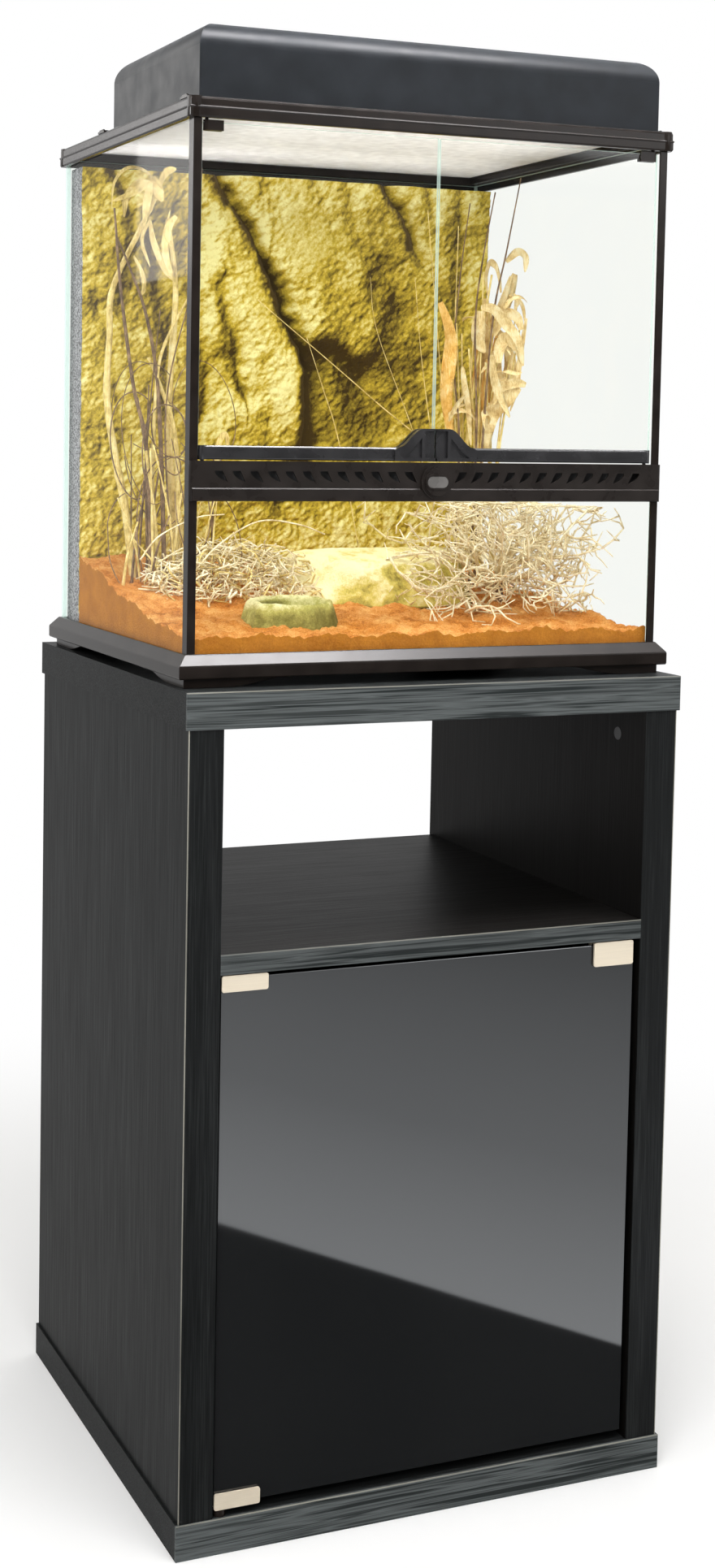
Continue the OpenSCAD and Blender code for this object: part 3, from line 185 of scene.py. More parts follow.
def bumpOf(tree, height, strength, distance, under=None):
    inputs = {"Height": height, "Strength": strength, "Distance": distance}
    if under is not None:
        inputs["Normal"] = under
    return addNode(tree, "ShaderNodeBump", inputs).outputs["Normal"]


def finish(tree, shader, colour=None, roughness=None, normal=None):
    for socket, value in (("Base Color", colour), ("Roughness", roughness), ("Normal", normal)):
        if value is not None:
            tree.links.new(value, shader.inputs[socket])


# materials

ash = {
    "dark": (0.0038, 0.0043, 0.0043), "mid": (0.0076, 0.0083, 0.0084), "light": (0.021, 0.023, 0.023),
    # inside: painted shade in the cabinet's open compartment, laid over this share of the colour; the pale colour
    # after it: painted highlight lines on the front edges
    "inside": (0.0028, 0.0022, 0.0018), "insideShadeShare": 0.86, "edgeHighlight": (0.30, 0.29, 0.25), "edgeHighlightWidth": 0.0011,
    "pressed": ((0.36, (0.016, 0.019, 0.019)), (0.5, (0.084, 0.093, 0.094)), (0.64, (0.03, 0.034, 0.034))),
    "gloss": 0.045, "frontFace": -0.2615, "insideFrom": -0.2612,  # y of the front edges
    "pore": (620.0, 9.0), "band": (60.0, 2.2),  # noise scales across the grain and along it
}


def blackAsh(name, grain, within=None, strips=(), ribs=0.0):
    # grain is the axis along which it runs; within: half width and heights of the inside, painted in shade;
    # strips: painted highlight lines along edges, as (axis, place, axis, place); ribs: pressed lines on the front
    # edge
    material, tree, shader = startMaterial(name)
    fine, band = [[ash[key][0]] * 3 for key in ("pore", "band")]
    fine[grain], band[grain] = ash["pore"][1], ash["band"][1]
    lines = noiseOf(tree, place(tree, fine), 1, 4, 0.62)
    bands = noiseOf(tree, place(tree, band), 1, 5, 0.6, 0.7)
    figure = plus(tree, times(tree, lines, 0.7), times(tree, bands, 0.3))
    colour = rampOf(tree, figure, (0.33, ash["dark"]), (0.5, ash["mid"]), (0.72, ash["light"]))
    axes = axesOf(tree)
    if ribs:
        front = mathOf(tree, "LESS_THAN", axes[1], ash["frontFace"])
        waves = noiseOf(tree, place(tree, (5, 40, 260)), 1, 3, 0.5, 0.6)
        colour = mixOf(tree, times(tree, front, ribs), colour, rampOf(tree, waves, *ash["pressed"]))
    if within is not None:
        halfWidth, low, high = within
        # painted shade: faces inside the compartment, behind the front edges, are darkened
        inside = mathOf(tree, "LESS_THAN", mathOf(tree, "ABSOLUTE", axes[0]), halfWidth)
        for test, axis, level in (("GREATER_THAN", 2, low), ("LESS_THAN", 2, high),
                                  ("GREATER_THAN", 1, ash["insideFrom"])):
            inside = times(tree, inside, mathOf(tree, test, axes[axis], level))
        colour = mixOf(tree, times(tree, inside, ash["insideShadeShare"]), colour, ash["inside"])
    # painted highlight lines along the given edges, broken up by the grain's bands
    highlightBreakup = rampOf(tree, bands, (0.35, 0.25), (0.65, 0.9))
    for first, a, second, b in strips:
        near = [mathOf(tree, "LESS_THAN", mathOf(tree, "ABSOLUTE",
                                                 mathOf(tree, "SUBTRACT", axes[axis], spot)),
                       ash["edgeHighlightWidth"]) for axis, spot in ((first, a), (second, b))]
        colour = mixOf(tree, times(tree, times(tree, *near), highlightBreakup), colour, ash["edgeHighlight"])
    finish(tree, shader, colour, rampOf(tree, lines, (0.3, 0.5), (0.7, 0.38)),
           bumpOf(tree, lines, 0.45, 0.0003))
    shader.inputs["Specular IOR Level"].default_value = ash["gloss"]
    return material


def mouldedPlastic(name, colour, rough=0.24, gloss=0.5, grain=0.25):
    material, tree, shader = startMaterial(name)
    cloud = noiseOf(tree, place(tree), 35, 3)
    speck = noiseOf(tree, place(tree), 900, 2)
    deep = [c * 0.8 for c in colour]
    raised = [c * 1.25 for c in colour]
    finish(tree, shader, rampOf(tree, cloud, (0.3, deep), (0.7, raised)),
           rampOf(tree, cloud, (0.25, rough * 0.85), (0.75, rough * 1.2)),
           bumpOf(tree, speck, grain, 0.00012))
    shader.inputs["Specular IOR Level"].default_value = gloss
    return material


def brushedMetal(name, colour, grain, rough, metal):
    material, tree, shader = startMaterial(name)
    scale = [1600.0] * 3
    scale[grain] = 18.0
    lines = noiseOf(tree, place(tree, scale), 1, 3, 0.7)
    cloud = noiseOf(tree, place(tree), 60, 2)
    finish(tree, shader, rampOf(tree, lines, (0.3, [c * 0.9 for c in colour]), (0.7, colour)),
           rampOf(tree, cloud, (0.3, rough * 0.9), (0.7, rough * 1.1)), bumpOf(tree, lines, 0.1, 0.00004))
    shader.inputs["Metallic"].default_value = metal
    return material


def smokedGlass(name):
    material, tree, shader = startMaterial(name)
    cloud = noiseOf(tree, place(tree), 3, 2)
    wave = noiseOf(tree, place(tree), 9, 1)
    finish(tree, shader, rampOf(tree, cloud, (0.3, (0.0085, 0.009, 0.0095)), (0.7, (0.011, 0.0115, 0.012))),
           rampOf(tree, cloud, (0.2, 0.03), (0.8, 0.05)), bumpOf(tree, wave, 0.02, 0.002))
    shader.inputs["IOR"].default_value = 1.52
    return material


def clearGlass(name, thin, mirror=1.0):  # thin is the axis across the pane; its edge faces are greener
    material, tree, shader = startMaterial(name)
    tree.nodes.remove(shader)
    output = tree.nodes["Material Output"]
    facing = mathOf(tree, "ABSOLUTE", axesOf(tree, "Normal")[thin])
    edge = rampOf(tree, facing, (0.5, 1.0), (0.8, 0.0))
    dust = noiseOf(tree, place(tree), 14, 4)
    tint = mixOf(tree, edge, (0.99, 0.995, 0.985), (0.78, 0.95, 0.9))
    clear = addNode(tree, "ShaderNodeBsdfTransparent", {"Color": tint})
    shine = addNode(tree, "ShaderNodeBsdfGlossy", {"Color": (1, 1, 1, 1),
                                                  "Roughness": rampOf(tree, dust, (0.3, 0.01), (0.8, 0.05))})
    fresnel = addNode(tree, "ShaderNodeFresnel", {"IOR": 1.5})
    outside = mathOf(tree, "SUBTRACT", 1.0, addNode(tree, "ShaderNodeNewGeometry").outputs["Backfacing"])
    shown = times(tree, times(tree, fresnel.outputs[0], outside), mirror)
    face = addNode(tree, "ShaderNodeMixShader", {0: shown, 1: clear.outputs[0], 2: shine.outputs[0]})
    green = addNode(tree, "ShaderNodeBsdfDiffuse", {"Color": (0.8, 0.97, 0.93, 1)})
    mixed = addNode(tree, "ShaderNodeMixShader", {0: times(tree, edge, 0.45), 1: face.outputs[0],
                                                  2: green.outputs[0]})
    tree.links.new(mixed.outputs[0], output.inputs["Surface"])
    return material


def rockPaint(name, deep, mid, high, bareFoam=None, patchy=0.26):
    # painted foam rock; bareFoam: half width and back of the wall, where grey foam shows past the paint
    material, tree, shader = startMaterial(name)
    # the tone starts from the painted light and shade stored at each point
    relief = addNode(tree, "ShaderNodeAttribute", attribute_name="relief").outputs["Fac"]
    patches = noiseOf(tree, place(tree), 9, 4, 0.6, 0.5)
    grit = noiseOf(tree, place(tree), 260, 5, 0.7)
    crumbs = noiseOf(tree, place(tree), 620, 3, 0.6)
    tone = relief
    for value, share in ((patches, patchy), (grit, 0.42), (crumbs, 0.26)):
        tone = plus(tree, tone, times(tree, mathOf(tree, "SUBTRACT", value, 0.5), share))
    ochre = [a * 0.45 + b * 0.4 for a, b in zip(deep, mid)]
    colour = rampOf(tree, tone, (0.14, deep), (0.34, ochre), (0.54, mid), (0.8, high))
    height = plus(tree, times(tree, grit, 0.65), times(tree, crumbs, 0.25))
    if bareFoam is not None:
        halfWidth, back = bareFoam
        x, y, _ = axesOf(tree)
        side = mathOf(tree, "GREATER_THAN", mathOf(tree, "ABSOLUTE", x), halfWidth - 0.0002)
        behind = mathOf(tree, "GREATER_THAN", y, back - 0.0008)
        speckle = rampOf(tree, noiseOf(tree, place(tree), 420, 2, 0.8), (0.42, (0.12, 0.12, 0.13)),
                         (0.6, (0.5, 0.51, 0.54)))
        colour = mixOf(tree, mathOf(tree, "MAXIMUM", side, behind), colour, speckle)
    finish(tree, shader, colour, rampOf(tree, grit, (0.2, 0.95), (0.8, 0.7)),
           bumpOf(tree, height, 0.8, 0.0035))
    shader.inputs["Specular IOR Level"].default_value = 0.2
    return material


def sandGrains(name):
    material, tree, shader = startMaterial(name)
    upward = axesOf(tree, "Normal")[2]
    grains = noiseOf(tree, place(tree), 560, 4, 0.85)
    drifts = noiseOf(tree, place(tree), 34, 5, 0.65, 0.5)
    pebbles = addNode(tree, "ShaderNodeTexVoronoi", {"Vector": place(tree), "Scale": 300}).outputs["Distance"]
    tone = plus(tree, times(tree, grains, 0.55), times(tree, drifts, 0.5))
    top = rampOf(tree, tone, (0.37, (0.28, 0.075, 0.006)), (0.5, (0.70, 0.25, 0.035)),
                 (0.66, (0.96, 0.57, 0.2)))
    pressed = rampOf(tree, tone, (0.38, (0.38, 0.125, 0.004)), (0.66, (0.62, 0.24, 0.02)))
    colour = mixOf(tree, rampOf(tree, upward, (0.3, 0.0), (0.6, 1.0)), pressed, top)
    finish(tree, shader, colour, rampOf(tree, grains, (0.3, 0.95), (0.7, 0.8)),
           bumpOf(tree, grains, 0.8, 0.0022, bumpOf(tree, pebbles, 0.4, 0.0018)))
    shader.inputs["Specular IOR Level"].default_value = 0.15
    return material


def dryStraw(name, deep, mid, pale):
    material, tree, shader = startMaterial(name)
    patches = noiseOf(tree, place(tree), 70, 4, 0.6)
    fibres = noiseOf(tree, place(tree, (900, 900, 60)), 1, 2, 0.7)
    tone = plus(tree, times(tree, patches, 0.6), times(tree, fibres, 0.4))
    finish(tree, shader, rampOf(tree, tone, (0.34, deep), (0.5, mid), (0.66, pale)),
           rampOf(tree, fibres, (0.3, 0.7), (0.7, 0.5)), bumpOf(tree, fibres, 0.4, 0.0004))
    shader.inputs["Specular IOR Level"].default_value = 0.3
    return material


def wireMetal(name, colour, metal):
    material, tree, shader = startMaterial(name)
    cloud = noiseOf(tree, place(tree), 80, 2)
    finish(tree, shader, rampOf(tree, cloud, (0.3, [c * 0.8 for c in colour]), (0.7, colour)),
           rampOf(tree, cloud, (0.3, 0.35), (0.7, 0.5)))
    shader.inputs["Metallic"].default_value = metal
    return material


finishes = {
    "ashUpright": blackAsh("ashUpright", 2, (0.2626, 0.04, 0.905),
                           [(0, -0.302, 1, -0.263), (0, 0.302, 1, -0.263)]),
    "ashAcross": blackAsh("ashAcross", 0, None, [(1, -0.265, 2, 0.945), (1, -0.265, 2, 0.04)], 1.0),
    "ashShelf": blackAsh("ashShelf", 0, (0.3, 0.6425, 0.7), [(1, -0.263, 2, 0.662)], 0.8),
    "plastic": mouldedPlastic("brownBlackPlastic", (0.0115, 0.0085, 0.007), 0.22, 0.13),
    "bar": mouldedPlastic("ventBarPlastic", (0.0125, 0.0098, 0.0085), 0.28, 0.17),
    "rail": mouldedPlastic("doorRailPlastic", (0.014, 0.0135, 0.0145), 0.24, 0.5),
    "canopy": mouldedPlastic("canopyPlastic", (0.008, 0.0095, 0.0115), 0.42, 0.12, 0.25),
    "badge": mouldedPlastic("badgePlastic", (0.10, 0.095, 0.09), 0.28, 0.5),
    "rubber": mouldedPlastic("softRubber", (0.02, 0.02, 0.02), 0.7, 0.3, 0.6),
    "nickel": brushedMetal("champagneNickel", (0.58, 0.51, 0.40), 0, 0.5, 0.25),
    "zinc": brushedMetal("zincSteel", (0.62, 0.63, 0.64), 0, 0.35, 1.0),
    "darkZinc": brushedMetal("blackedZinc", (0.03, 0.03, 0.031), 0, 0.45, 0.5),
    "smoked": smokedGlass("smokedGlass"),
    "paneAcross": clearGlass("clearGlassFront", 1),
    "paneSide": clearGlass("clearGlassSide", 0, 0.22),
    "paneFloor": clearGlass("clearGlassFloor", 2),
    "beech": dryStraw("beechDowel", (0.42, 0.27, 0.14), (0.55, 0.38, 0.22), (0.66, 0.5, 0.32)),
    "rock": rockPaint("paintedFoamRock", (0.07, 0.042, 0.003), (0.68, 0.50, 0.045), (1.0, 0.93, 0.42),
                      (0.285, 0.221)),
    "caveRock": rockPaint("paleCaveRock", (0.16, 0.12, 0.015), (0.72, 0.60, 0.13), (1.0, 0.93, 0.56), None,
                          0.1),
    "dishRock": rockPaint("dishRock", (0.14, 0.12, 0.02), (0.50, 0.46, 0.12), (0.98, 0.92, 0.50), None, 0.15),
    "sand": sandGrains("orangeSand"),
    "straw": dryStraw("dryStraw", (0.36, 0.24, 0.05), (0.80, 0.62, 0.22), (0.97, 0.87, 0.48)),
    "cream": dryStraw("creamTwigs", (0.46, 0.30, 0.11), (0.93, 0.82, 0.53), (1.0, 0.97, 0.84)),
    "paleLeaf": dryStraw("paleLeaf", (0.52, 0.31, 0.09), (0.88, 0.69, 0.33), (0.98, 0.90, 0.62)),
    "brown": dryStraw("brownTwigs", (0.07, 0.04, 0.02), (0.18, 0.11, 0.06), (0.42, 0.28, 0.15)),
    "orange": dryStraw("orangeLeaf", (0.60, 0.26, 0.03), (0.86, 0.52, 0.13), (0.97, 0.78, 0.40)),
    "wire": wireMetal("screenWire", (0.86, 0.86, 0.88), 0.25),
    "darkWire": wireMetal("ventWire", (0.05, 0.05, 0.05), 0.5),
    "bulb": mouldedPlastic("bulbGlass", (0.75, 0.75, 0.72), 0.15, 0.5, 0.1),
    "ceramic": mouldedPlastic("socketCeramic", (0.7, 0.69, 0.65), 0.25, 0.5, 0.2),
}
print("materials made:", len(finishes))


# finishes of the solids that keep their CAD shape

solidFinishes = {
    "ashUpright": ["left_side_panel", "right_side_panel", "back_panel"],
    "ashAcross": ["top_board", "bottom_board"],
    "ashShelf": ["middle_shelf"],
    "plastic": ["base_frame", "top_frame", "left_corner_post", "right_corner_post", "screen_frame",
                "front_left_latch", "rear_left_latch", "front_right_latch", "rear_right_latch",
                "left_door_shoe", "right_door_shoe", "hinge_bushes", "latch_housing", "latch_plunger",
                "cord_gland"],
    "bar": ["vent_bar", "lock_knob"],
    "rail": ["left_door_rail", "right_door_rail"],
    "canopy": ["canopy_shell"],
    "badge": ["lock_badge"],
    "rubber": ["wall_bumpers", "clamp_pads"],
    "nickel": ["upper_hinge_clamp", "lower_hinge_clamp", "catch_plate"],
    "zinc": ["cam_bolts", "latch_screws", "clamp_screws", "canopy_reflector"],
    "darkZinc": ["cam_locks"],
    "darkWire": ["vent_mesh"],
    "smoked": ["smoked_glass_door"],
    "paneAcross": ["front_window", "back_pane", "left_door_glass", "right_door_glass"],
    "paneSide": ["left_pane", "right_pane"],
    "paneFloor": ["floor_pane"],
    "beech": ["joint_dowels"],
    "bulb": ["lamp_bulbs"],
    "ceramic": ["lamp_sockets"],
}
edgeRounding = {  # radius in millimetres on the edges of the solids
    "top_board": 1.2, "bottom_board": 1.2, "middle_shelf": 1.0, "left_side_panel": 0.6,
    "right_side_panel": 0.6,
    "base_frame": 0.7, "top_frame": 0.6, "vent_bar": 0.45, "left_door_rail": 1.5, "right_door_rail": 1.5,
    "lock_knob": 0.8, "lock_badge": 0.3,
    "canopy_shell": 0.6, "smoked_glass_door": 0.8, "upper_hinge_clamp": 0.7, "lower_hinge_clamp": 0.7,
    "catch_plate": 0.6, "left_door_glass": 0.5, "right_door_glass": 0.5, "screen_frame": 0.4,
    "left_corner_post": 0.4, "right_corner_post": 0.4, "back_panel": 0.3,
}


def dressSolids():
    for key, names in solidFinishes.items():
        for name in names:
            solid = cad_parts[name]
            if not solid.material_slots:
                solid.data.materials.append(None)
            for materialSlot in solid.material_slots:
                materialSlot.link = "OBJECT"
                materialSlot.material = finishes[key]
            if name in edgeRounding:
                weld = solid.modifiers.new("joinFaces", "WELD")
                weld.merge_threshold = 0.00001
                bevel = solid.modifiers.new("roundEdges", "BEVEL")
                bevel.width = edgeRounding[name] * mm
                bevel.segments = 2
                bevel.limit_method = "ANGLE"
                bevel.angle_limit = math.radians(32)


dressSolids()
print("solids dressed")


# mesh helpers

class Shape:  # collects points and faces of one piece, in frame metres
    def __init__(self):
        self.points = []
        self.faces = []

    def add(self, points, faces):
        start = len(self.points)
        self.points.extend(points)
        self.faces.extend([tuple(start + i for i in face) for face in faces])

    def piece(self, name, body, finishKey, slot, replaces=(), relief=None, flat=False):
        mesh = bpy.data.meshes.new(name)
        mesh.from_pydata([tuple(p) for p in self.points], [], self.faces)
        mesh.validate()
        if not flat:
            mesh.polygons.foreach_set("use_smooth", [True] * len(mesh.polygons))
        return dressPiece(name, mesh, body, finishKey, replaces, relief)


def dressPiece(name, mesh, body, finishKey, replaces=(), relief=None):
    # the last argument gives the painted light and shade at each point
    mesh.materials.append(finishes[finishKey])
    if relief is not None:
        mesh.attributes.new("relief", "FLOAT", "POINT").data.foreach_set("value", relief)
    piece = newObject(name, mesh)
    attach(piece, body)
    if replaces:
        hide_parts(*replaces)
    print("piece:", name, len(mesh.vertices), "points")
    return piece


def gridFaces(columns, rows, start=0):  # quads of a grid stored row by row
    return [(start + r * columns + c, start + r * columns + c + 1,
             start + (r + 1) * columns + c + 1, start + (r + 1) * columns + c)
            for r in range(rows - 1) for c in range(columns - 1)]


def closeGrid(shape, columns, rows, axis, level):
    # adds walls from the grid's border to a flat face at a level of the axis; gives how many points they add
    border = [c for c in range(columns)] + [r * columns + columns - 1 for r in range(1, rows)] \
        + [(rows - 1) * columns + c for c in range(columns - 2, -1, -1)] \
        + [r * columns for r in range(rows - 2, 0, -1)]
    start = len(shape.points)
    for index in border:
        point = shape.points[index].copy()
        point[axis] = level
        shape.points.append(point)
    for i in range(len(border)):
        k = (i + 1) % len(border)
        shape.faces.append((border[k], border[i], start + i, start + k))
    shape.faces.append(tuple(start + i for i in range(len(border) - 1, -1, -1)))
    return len(border)


def tube(shape, line, radii, sides):  # a round stem along a line of points
    line = [Vector(p) for p in line]
    side = Vector((0.31, 0.87, 0.38))
    points = []
    for i, centre in enumerate(line):
        ahead = line[min(i + 1, len(line) - 1)] - line[max(i - 1, 0)]
        ahead.normalize()
        side = (side - ahead * side.dot(ahead)).normalized()
        other = ahead.cross(side)
        for k in range(sides):
            angle = 2 * math.pi * k / sides
            points.append(centre + (side * math.cos(angle) + other * math.sin(angle)) * radii[i])
    faces = [(i * sides + k, i * sides + (k + 1) % sides, (i + 1) * sides + (k + 1) % sides,
              (i + 1) * sides + k)
             for i in range(len(line) - 1) for k in range(sides)]
    faces.append(tuple(range(sides - 1, -1, -1)))
    faces.append(tuple((len(line) - 1) * sides + k for k in range(sides)))
    shape.add(points, faces)


def curveThrough(points, steps):  # a smooth line through points
    points = [Vector(p) for p in points]
    padded = [points[0] * 2 - points[1]] + points + [points[-1] * 2 - points[-2]]
    line = []
    for i in range(len(points) - 1):
        a, b, c, d = padded[i:i + 4]
        for k in range(steps):
            t = k / steps
            line.append(0.5 * (2 * b + (c - a) * t + (2 * a - 5 * b + 4 * c - d) * t * t
                               + (3 * b - a - 3 * c + d) * t ** 3))
    line.append(points[-1])
    return line


leafThickness = 0.3 * mm


def ribbon(shape, line, widths, up, fold):  # a leaf: a folded strip with thickness
    line = [Vector(p) for p in line]
    count = len(line)
    points = []
    for i, centre in enumerate(line):
        ahead = (line[min(i + 1, count - 1)] - line[max(i - 1, 0)]).normalized()
        side = ahead.cross(up)
        side = side.normalized() if side.length > 1e-6 else Vector((1, 0, 0))
        lift = side.cross(ahead).normalized()
        half = widths[i] / 2
        # a gutter
        for across, rise in ((-1, fold), (-0.45, fold * 0.3), (0, 0), (0.45, fold * 0.3), (1, fold)):
            points.append(centre + side * half * across + lift * half * rise)
    points += [p - Vector((0, 0, leafThickness)) for p in points]
    faces = gridFaces(5, count)
    under = [tuple(reversed(face)) for face in gridFaces(5, count, count * 5)]
    rim = [(i * 5, (i + 1) * 5, (count + i + 1) * 5, (count + i) * 5) for i in range(count - 1)]
    rim += [(i * 5 + 4, (count + i) * 5 + 4, (count + i + 1) * 5 + 4, (i + 1) * 5 + 4)
            for i in range(count - 1)]
    shape.add(points, faces + under + rim)


# rock background: rounded masses with a steep cleft between them, over a rough, crumbly surface

rockWall = {
    "halfWidth": 285.0, "bottom": 18.0, "top": 599.0, "back": 220.0, "foot": 47.0,
    "columns": 430, "rows": 440, "lumps": 1.5, "crags": 1.25, "crumbs": 1.35, "grit": 1.0, "pits": 2.8,
    "reach": 34.0, "deepest": 15.0, "highest": 57.0,
    # swells: where the wall stands out, as (x, z, height) in millimetres
    "swells": [(-268, 590, 42), (-272, 480, 47), (-264, 360, 48), (-258, 230, 46), (-214, 560, 45),
               (-198, 460, 40),
               (-190, 330, 47), (-180, 220, 48), (-160, 600, 40), (-150, 520, 37), (-146, 420, 40),
               (-136, 330, 44),
               (-112, 585, 48), (-92, 510, 52), (-103, 420, 52), (-58, 445, 54), (-34, 385, 55),
               (-52, 320, 50),
               (-4, 320, 56), (6, 288, 54), (-20, 262, 45), (-84, 270, 46), (-112, 340, 42), (-130, 290, 43),
               (-60, 205, 46), (20, 200, 38), (-150, 190, 48), (90, 200, 36), (150, 190, 40), (230, 190, 44),
               (-80, 630, 52), (-48, 588, 54), (-14, 530, 56), (8, 500, 57), (22, 446, 54), (62, 570, 55),
               (92, 505, 53), (70, 446, 51), (104, 420, 47), (112, 610, 53), (134, 545, 50), (136, 475, 44),
               (160, 405, 38), (152, 350, 30), (60, 330, 26), (100, 310, 22), (142, 300, 24), (60, 280, 26),
               (44, 248, 30), (100, 246, 28), (182, 330, 30), (182, 256, 32), (168, 610, 52), (214, 585, 50),
               (206, 500, 45), (216, 430, 41), (232, 350, 36), (242, 256, 38), (262, 596, 48), (266, 500, 44),
               (270, 400, 40)],
    # clefts: line, depth at its start and end, width to its left and right
    "clefts": [([(-108, 612), (-84, 566), (-60, 529), (-34, 486), (-2, 425), (24, 350), (36, 262)], 16, 22,
                9, 9),
               ([(-34, 486), (-2, 425), (24, 350), (36, 262)], 5, 14, 7, 34),
               ([(112, 640), (126, 612), (173, 532), (190, 496)], 22, 5, 8, 9),
               ([(-238, 620), (-231, 590), (-216, 500)], 18, 3, 10, 9),
               ([(-100, 462), (-84, 421), (-76, 370), (-62, 322)], 6, 14, 11, 17),
               ([(-146, 500), (-120, 420), (-114, 350), (-120, 290)], 4, 8, 18, 12),
               ([(-52, 640), (-38, 590), (-22, 556)], 5, 1, 12, 10),
               ([(8, 640), (26, 585), (50, 530)], 6, 1, 12, 10),
               ([(58, 640), (76, 580), (100, 520), (116, 470)], 6, 2, 13, 11),
               ([(182, 640), (198, 575), (214, 520)], 9, 1, 12, 10),
               ([(232, 640), (242, 560), (250, 440)], 7, 2, 14, 12),
               ([(110, 520), (150, 470), (168, 430)], 1, 4, 12, 12),
               ([(-196, 540), (-172, 430), (-160, 300)], 7, 5, 18, 14),
               ([(-40, 360), (-26, 320), (-30, 290)], 2, 4, 12, 14),
               ([(-260, 430), (-236, 330), (-226, 240)], 3, 3, 16, 14)],
    "light": (0.66, 0.58, 0.48),  # the painted lights and shades: from the left, the front and above
    # painted light and shade: higher parts lighter, hollows darker
    "tone": 0.535, "toneByHeight": 0.0115, "heightReach": 16,
    "toneByLight": ((7, 0.50), (2, 0.42), (0, 0.26)),  # reach of the evening out, and share
    "toneByHollow": ((26, 0.012), (9, 0.022)),
    "calmFrom": 126.0, "calmHeight": 60.0,  # behind the sand the wall is flat
}


def wallHeights(x, z):  # the wall's large forms at points x, z
    v = rockWall
    total, weights = np.zeros_like(x), np.full_like(x, 1e-9)
    for cx, cz, height in v["swells"]:
        weight = np.exp(-((x - cx) ** 2 + ((z - cz) * 0.8) ** 2) / v["reach"] ** 2 * 1.6)
        total += weight * height
        weights += weight
    heights = total / weights
    for line, start, end, left, right in v["clefts"]:
        nearest = np.full_like(x, 1e9)
        share = np.zeros_like(x)
        across = np.zeros_like(x)
        for i in range(len(line) - 1):
            (ax, az), (bx, bz) = line[i], line[i + 1]
            lengthSquared = (bx - ax) ** 2 + (bz - az) ** 2
            t = np.clip(((x - ax) * (bx - ax) + (z - az) * (bz - az)) / lengthSquared, 0, 1)
            dx, dz = x - ax - t * (bx - ax), z - az - t * (bz - az)
            distance = np.hypot(dx, dz)
            closer = distance < nearest
            nearest = np.where(closer, distance, nearest)
            share = np.where(closer, (i + t) / (len(line) - 1), share)
            across = np.where(closer, dx, across)
        width = np.where(across < 0, left, right)
        heights -= (start + (end - start) * share) * np.exp(-(nearest / width) ** 1.5)
    return heights


def roughness3(x, y, z, size):
    return noise.noise(Vector((x / size, y / size, z / size)))


def evened(heights, reach):  # averaged over a square round each point
    size = 2 * reach + 1
    rows = np.cumsum(np.pad(heights, ((reach + 1, reach), (0, 0)), "edge"), 0)
    flat = (rows[size:] - rows[:-size]) / size
    columns = np.cumsum(np.pad(flat, ((0, 0), (reach + 1, reach)), "edge"), 1)
    return (columns[:, size:] - columns[:, :-size]) / size


def facingLight(heights, stepX, stepZ):
    # how squarely the surface faces the painted light, less a flat wall's share
    left, front, above = rockWall["light"]
    slopeZ, slopeX = np.gradient(heights, stepZ, stepX)
    return (slopeX * left + front - slopeZ * above) / np.sqrt(1 + slopeX ** 2 + slopeZ ** 2) - front


def makeRockWall():
    v = rockWall
    columns, rows = v["columns"], v["rows"]
    xs, zs = np.meshgrid(np.linspace(-v["halfWidth"], v["halfWidth"], columns),
                         np.linspace(v["bottom"], v["top"], rows))
    sway = np.zeros_like(xs)
    rough = np.zeros_like(xs)
    for r in range(rows):
        for c in range(columns):
            x, z = xs[r, c], zs[r, c]
            lean = x + 0.4 * z
            sway[r, c] = roughness3(x, 40, z, 60) * 9 + roughness3(x, 44, z, 15) * 3
            pit = max(0.0, roughness3(x, 21, z, 6.5) - 0.12) + 0.6 * max(0.0, roughness3(x, 24, z, 3.4) - 0.1)
            rough[r, c] = roughness3(lean, 0, z * 0.6, 44) * v["lumps"] * 1.5 \
                + roughness3(lean, 9, z * 0.8, 21) * v["lumps"] + roughness3(x, 3, z, 11) * v["crags"] \
                + roughness3(x, 7, z, 5.4) * v["crumbs"] + roughness3(x, 17, z, 2.7) * v["grit"] - pit * v["pits"]
    heights = wallHeights(xs + sway, zs + sway * 0.5)
    free = np.clip((zs - v["calmFrom"]) / v["calmHeight"], 0, 1)
    heights = v["foot"] + (heights - v["foot"]) * free + rough
    rounded = v["highest"] - 4 * np.exp(-(heights - v["highest"] + 4) / 4)  # the last 4 mm flatten out
    heights = np.where(heights > v["highest"] - 4, rounded, heights)
    heights = np.maximum(heights, v["deepest"])
    stepX, stepZ = xs[0, 1] - xs[0, 0], zs[1, 0] - zs[0, 0]
    # painted light and shade: higher parts and faces towards the light lighter, hollows darker
    tone = v["tone"] + v["toneByHeight"] * (evened(heights, v["heightReach"]) - v["foot"]) * free
    for reach, share in v["toneByLight"]:
        tone += share * facingLight(evened(heights, reach) if reach else heights, stepX, stepZ)
    for reach, share in v["toneByHollow"]:
        tone += share * (heights - evened(heights, reach))
    shape = Shape()
    for r in range(rows):
        for c in range(columns):
            shape.points.append(inTank(xs[r, c], v["back"] - heights[r, c], zs[r, c]))
    values = [float(value) for value in np.clip(tone, 0, 1).ravel()]
    shape.faces = gridFaces(columns, rows)
    values += [0.5] * closeGrid(shape, columns, rows, 1, inTank(0, v["back"], 0).y)
    shape.piece("moulded_rock_background", "cabinet_and_tank", "rock", "rock", ["rock_background"], values)


makeRockWall()


# sand: climbs from the front window to the background, with drifts and footprints

sandFill = {
    "halfWidth": 285.7, "front": -219.6, "back": 169.7, "bottom": 18.0,
    "depthFront": 52.0, "depthLeft": 118.0, "depthRight": 92.0,
    "columns": 340, "rows": 240, "drift": 3.8, "dent": 3.6, "edgeWave": 3.0,
}


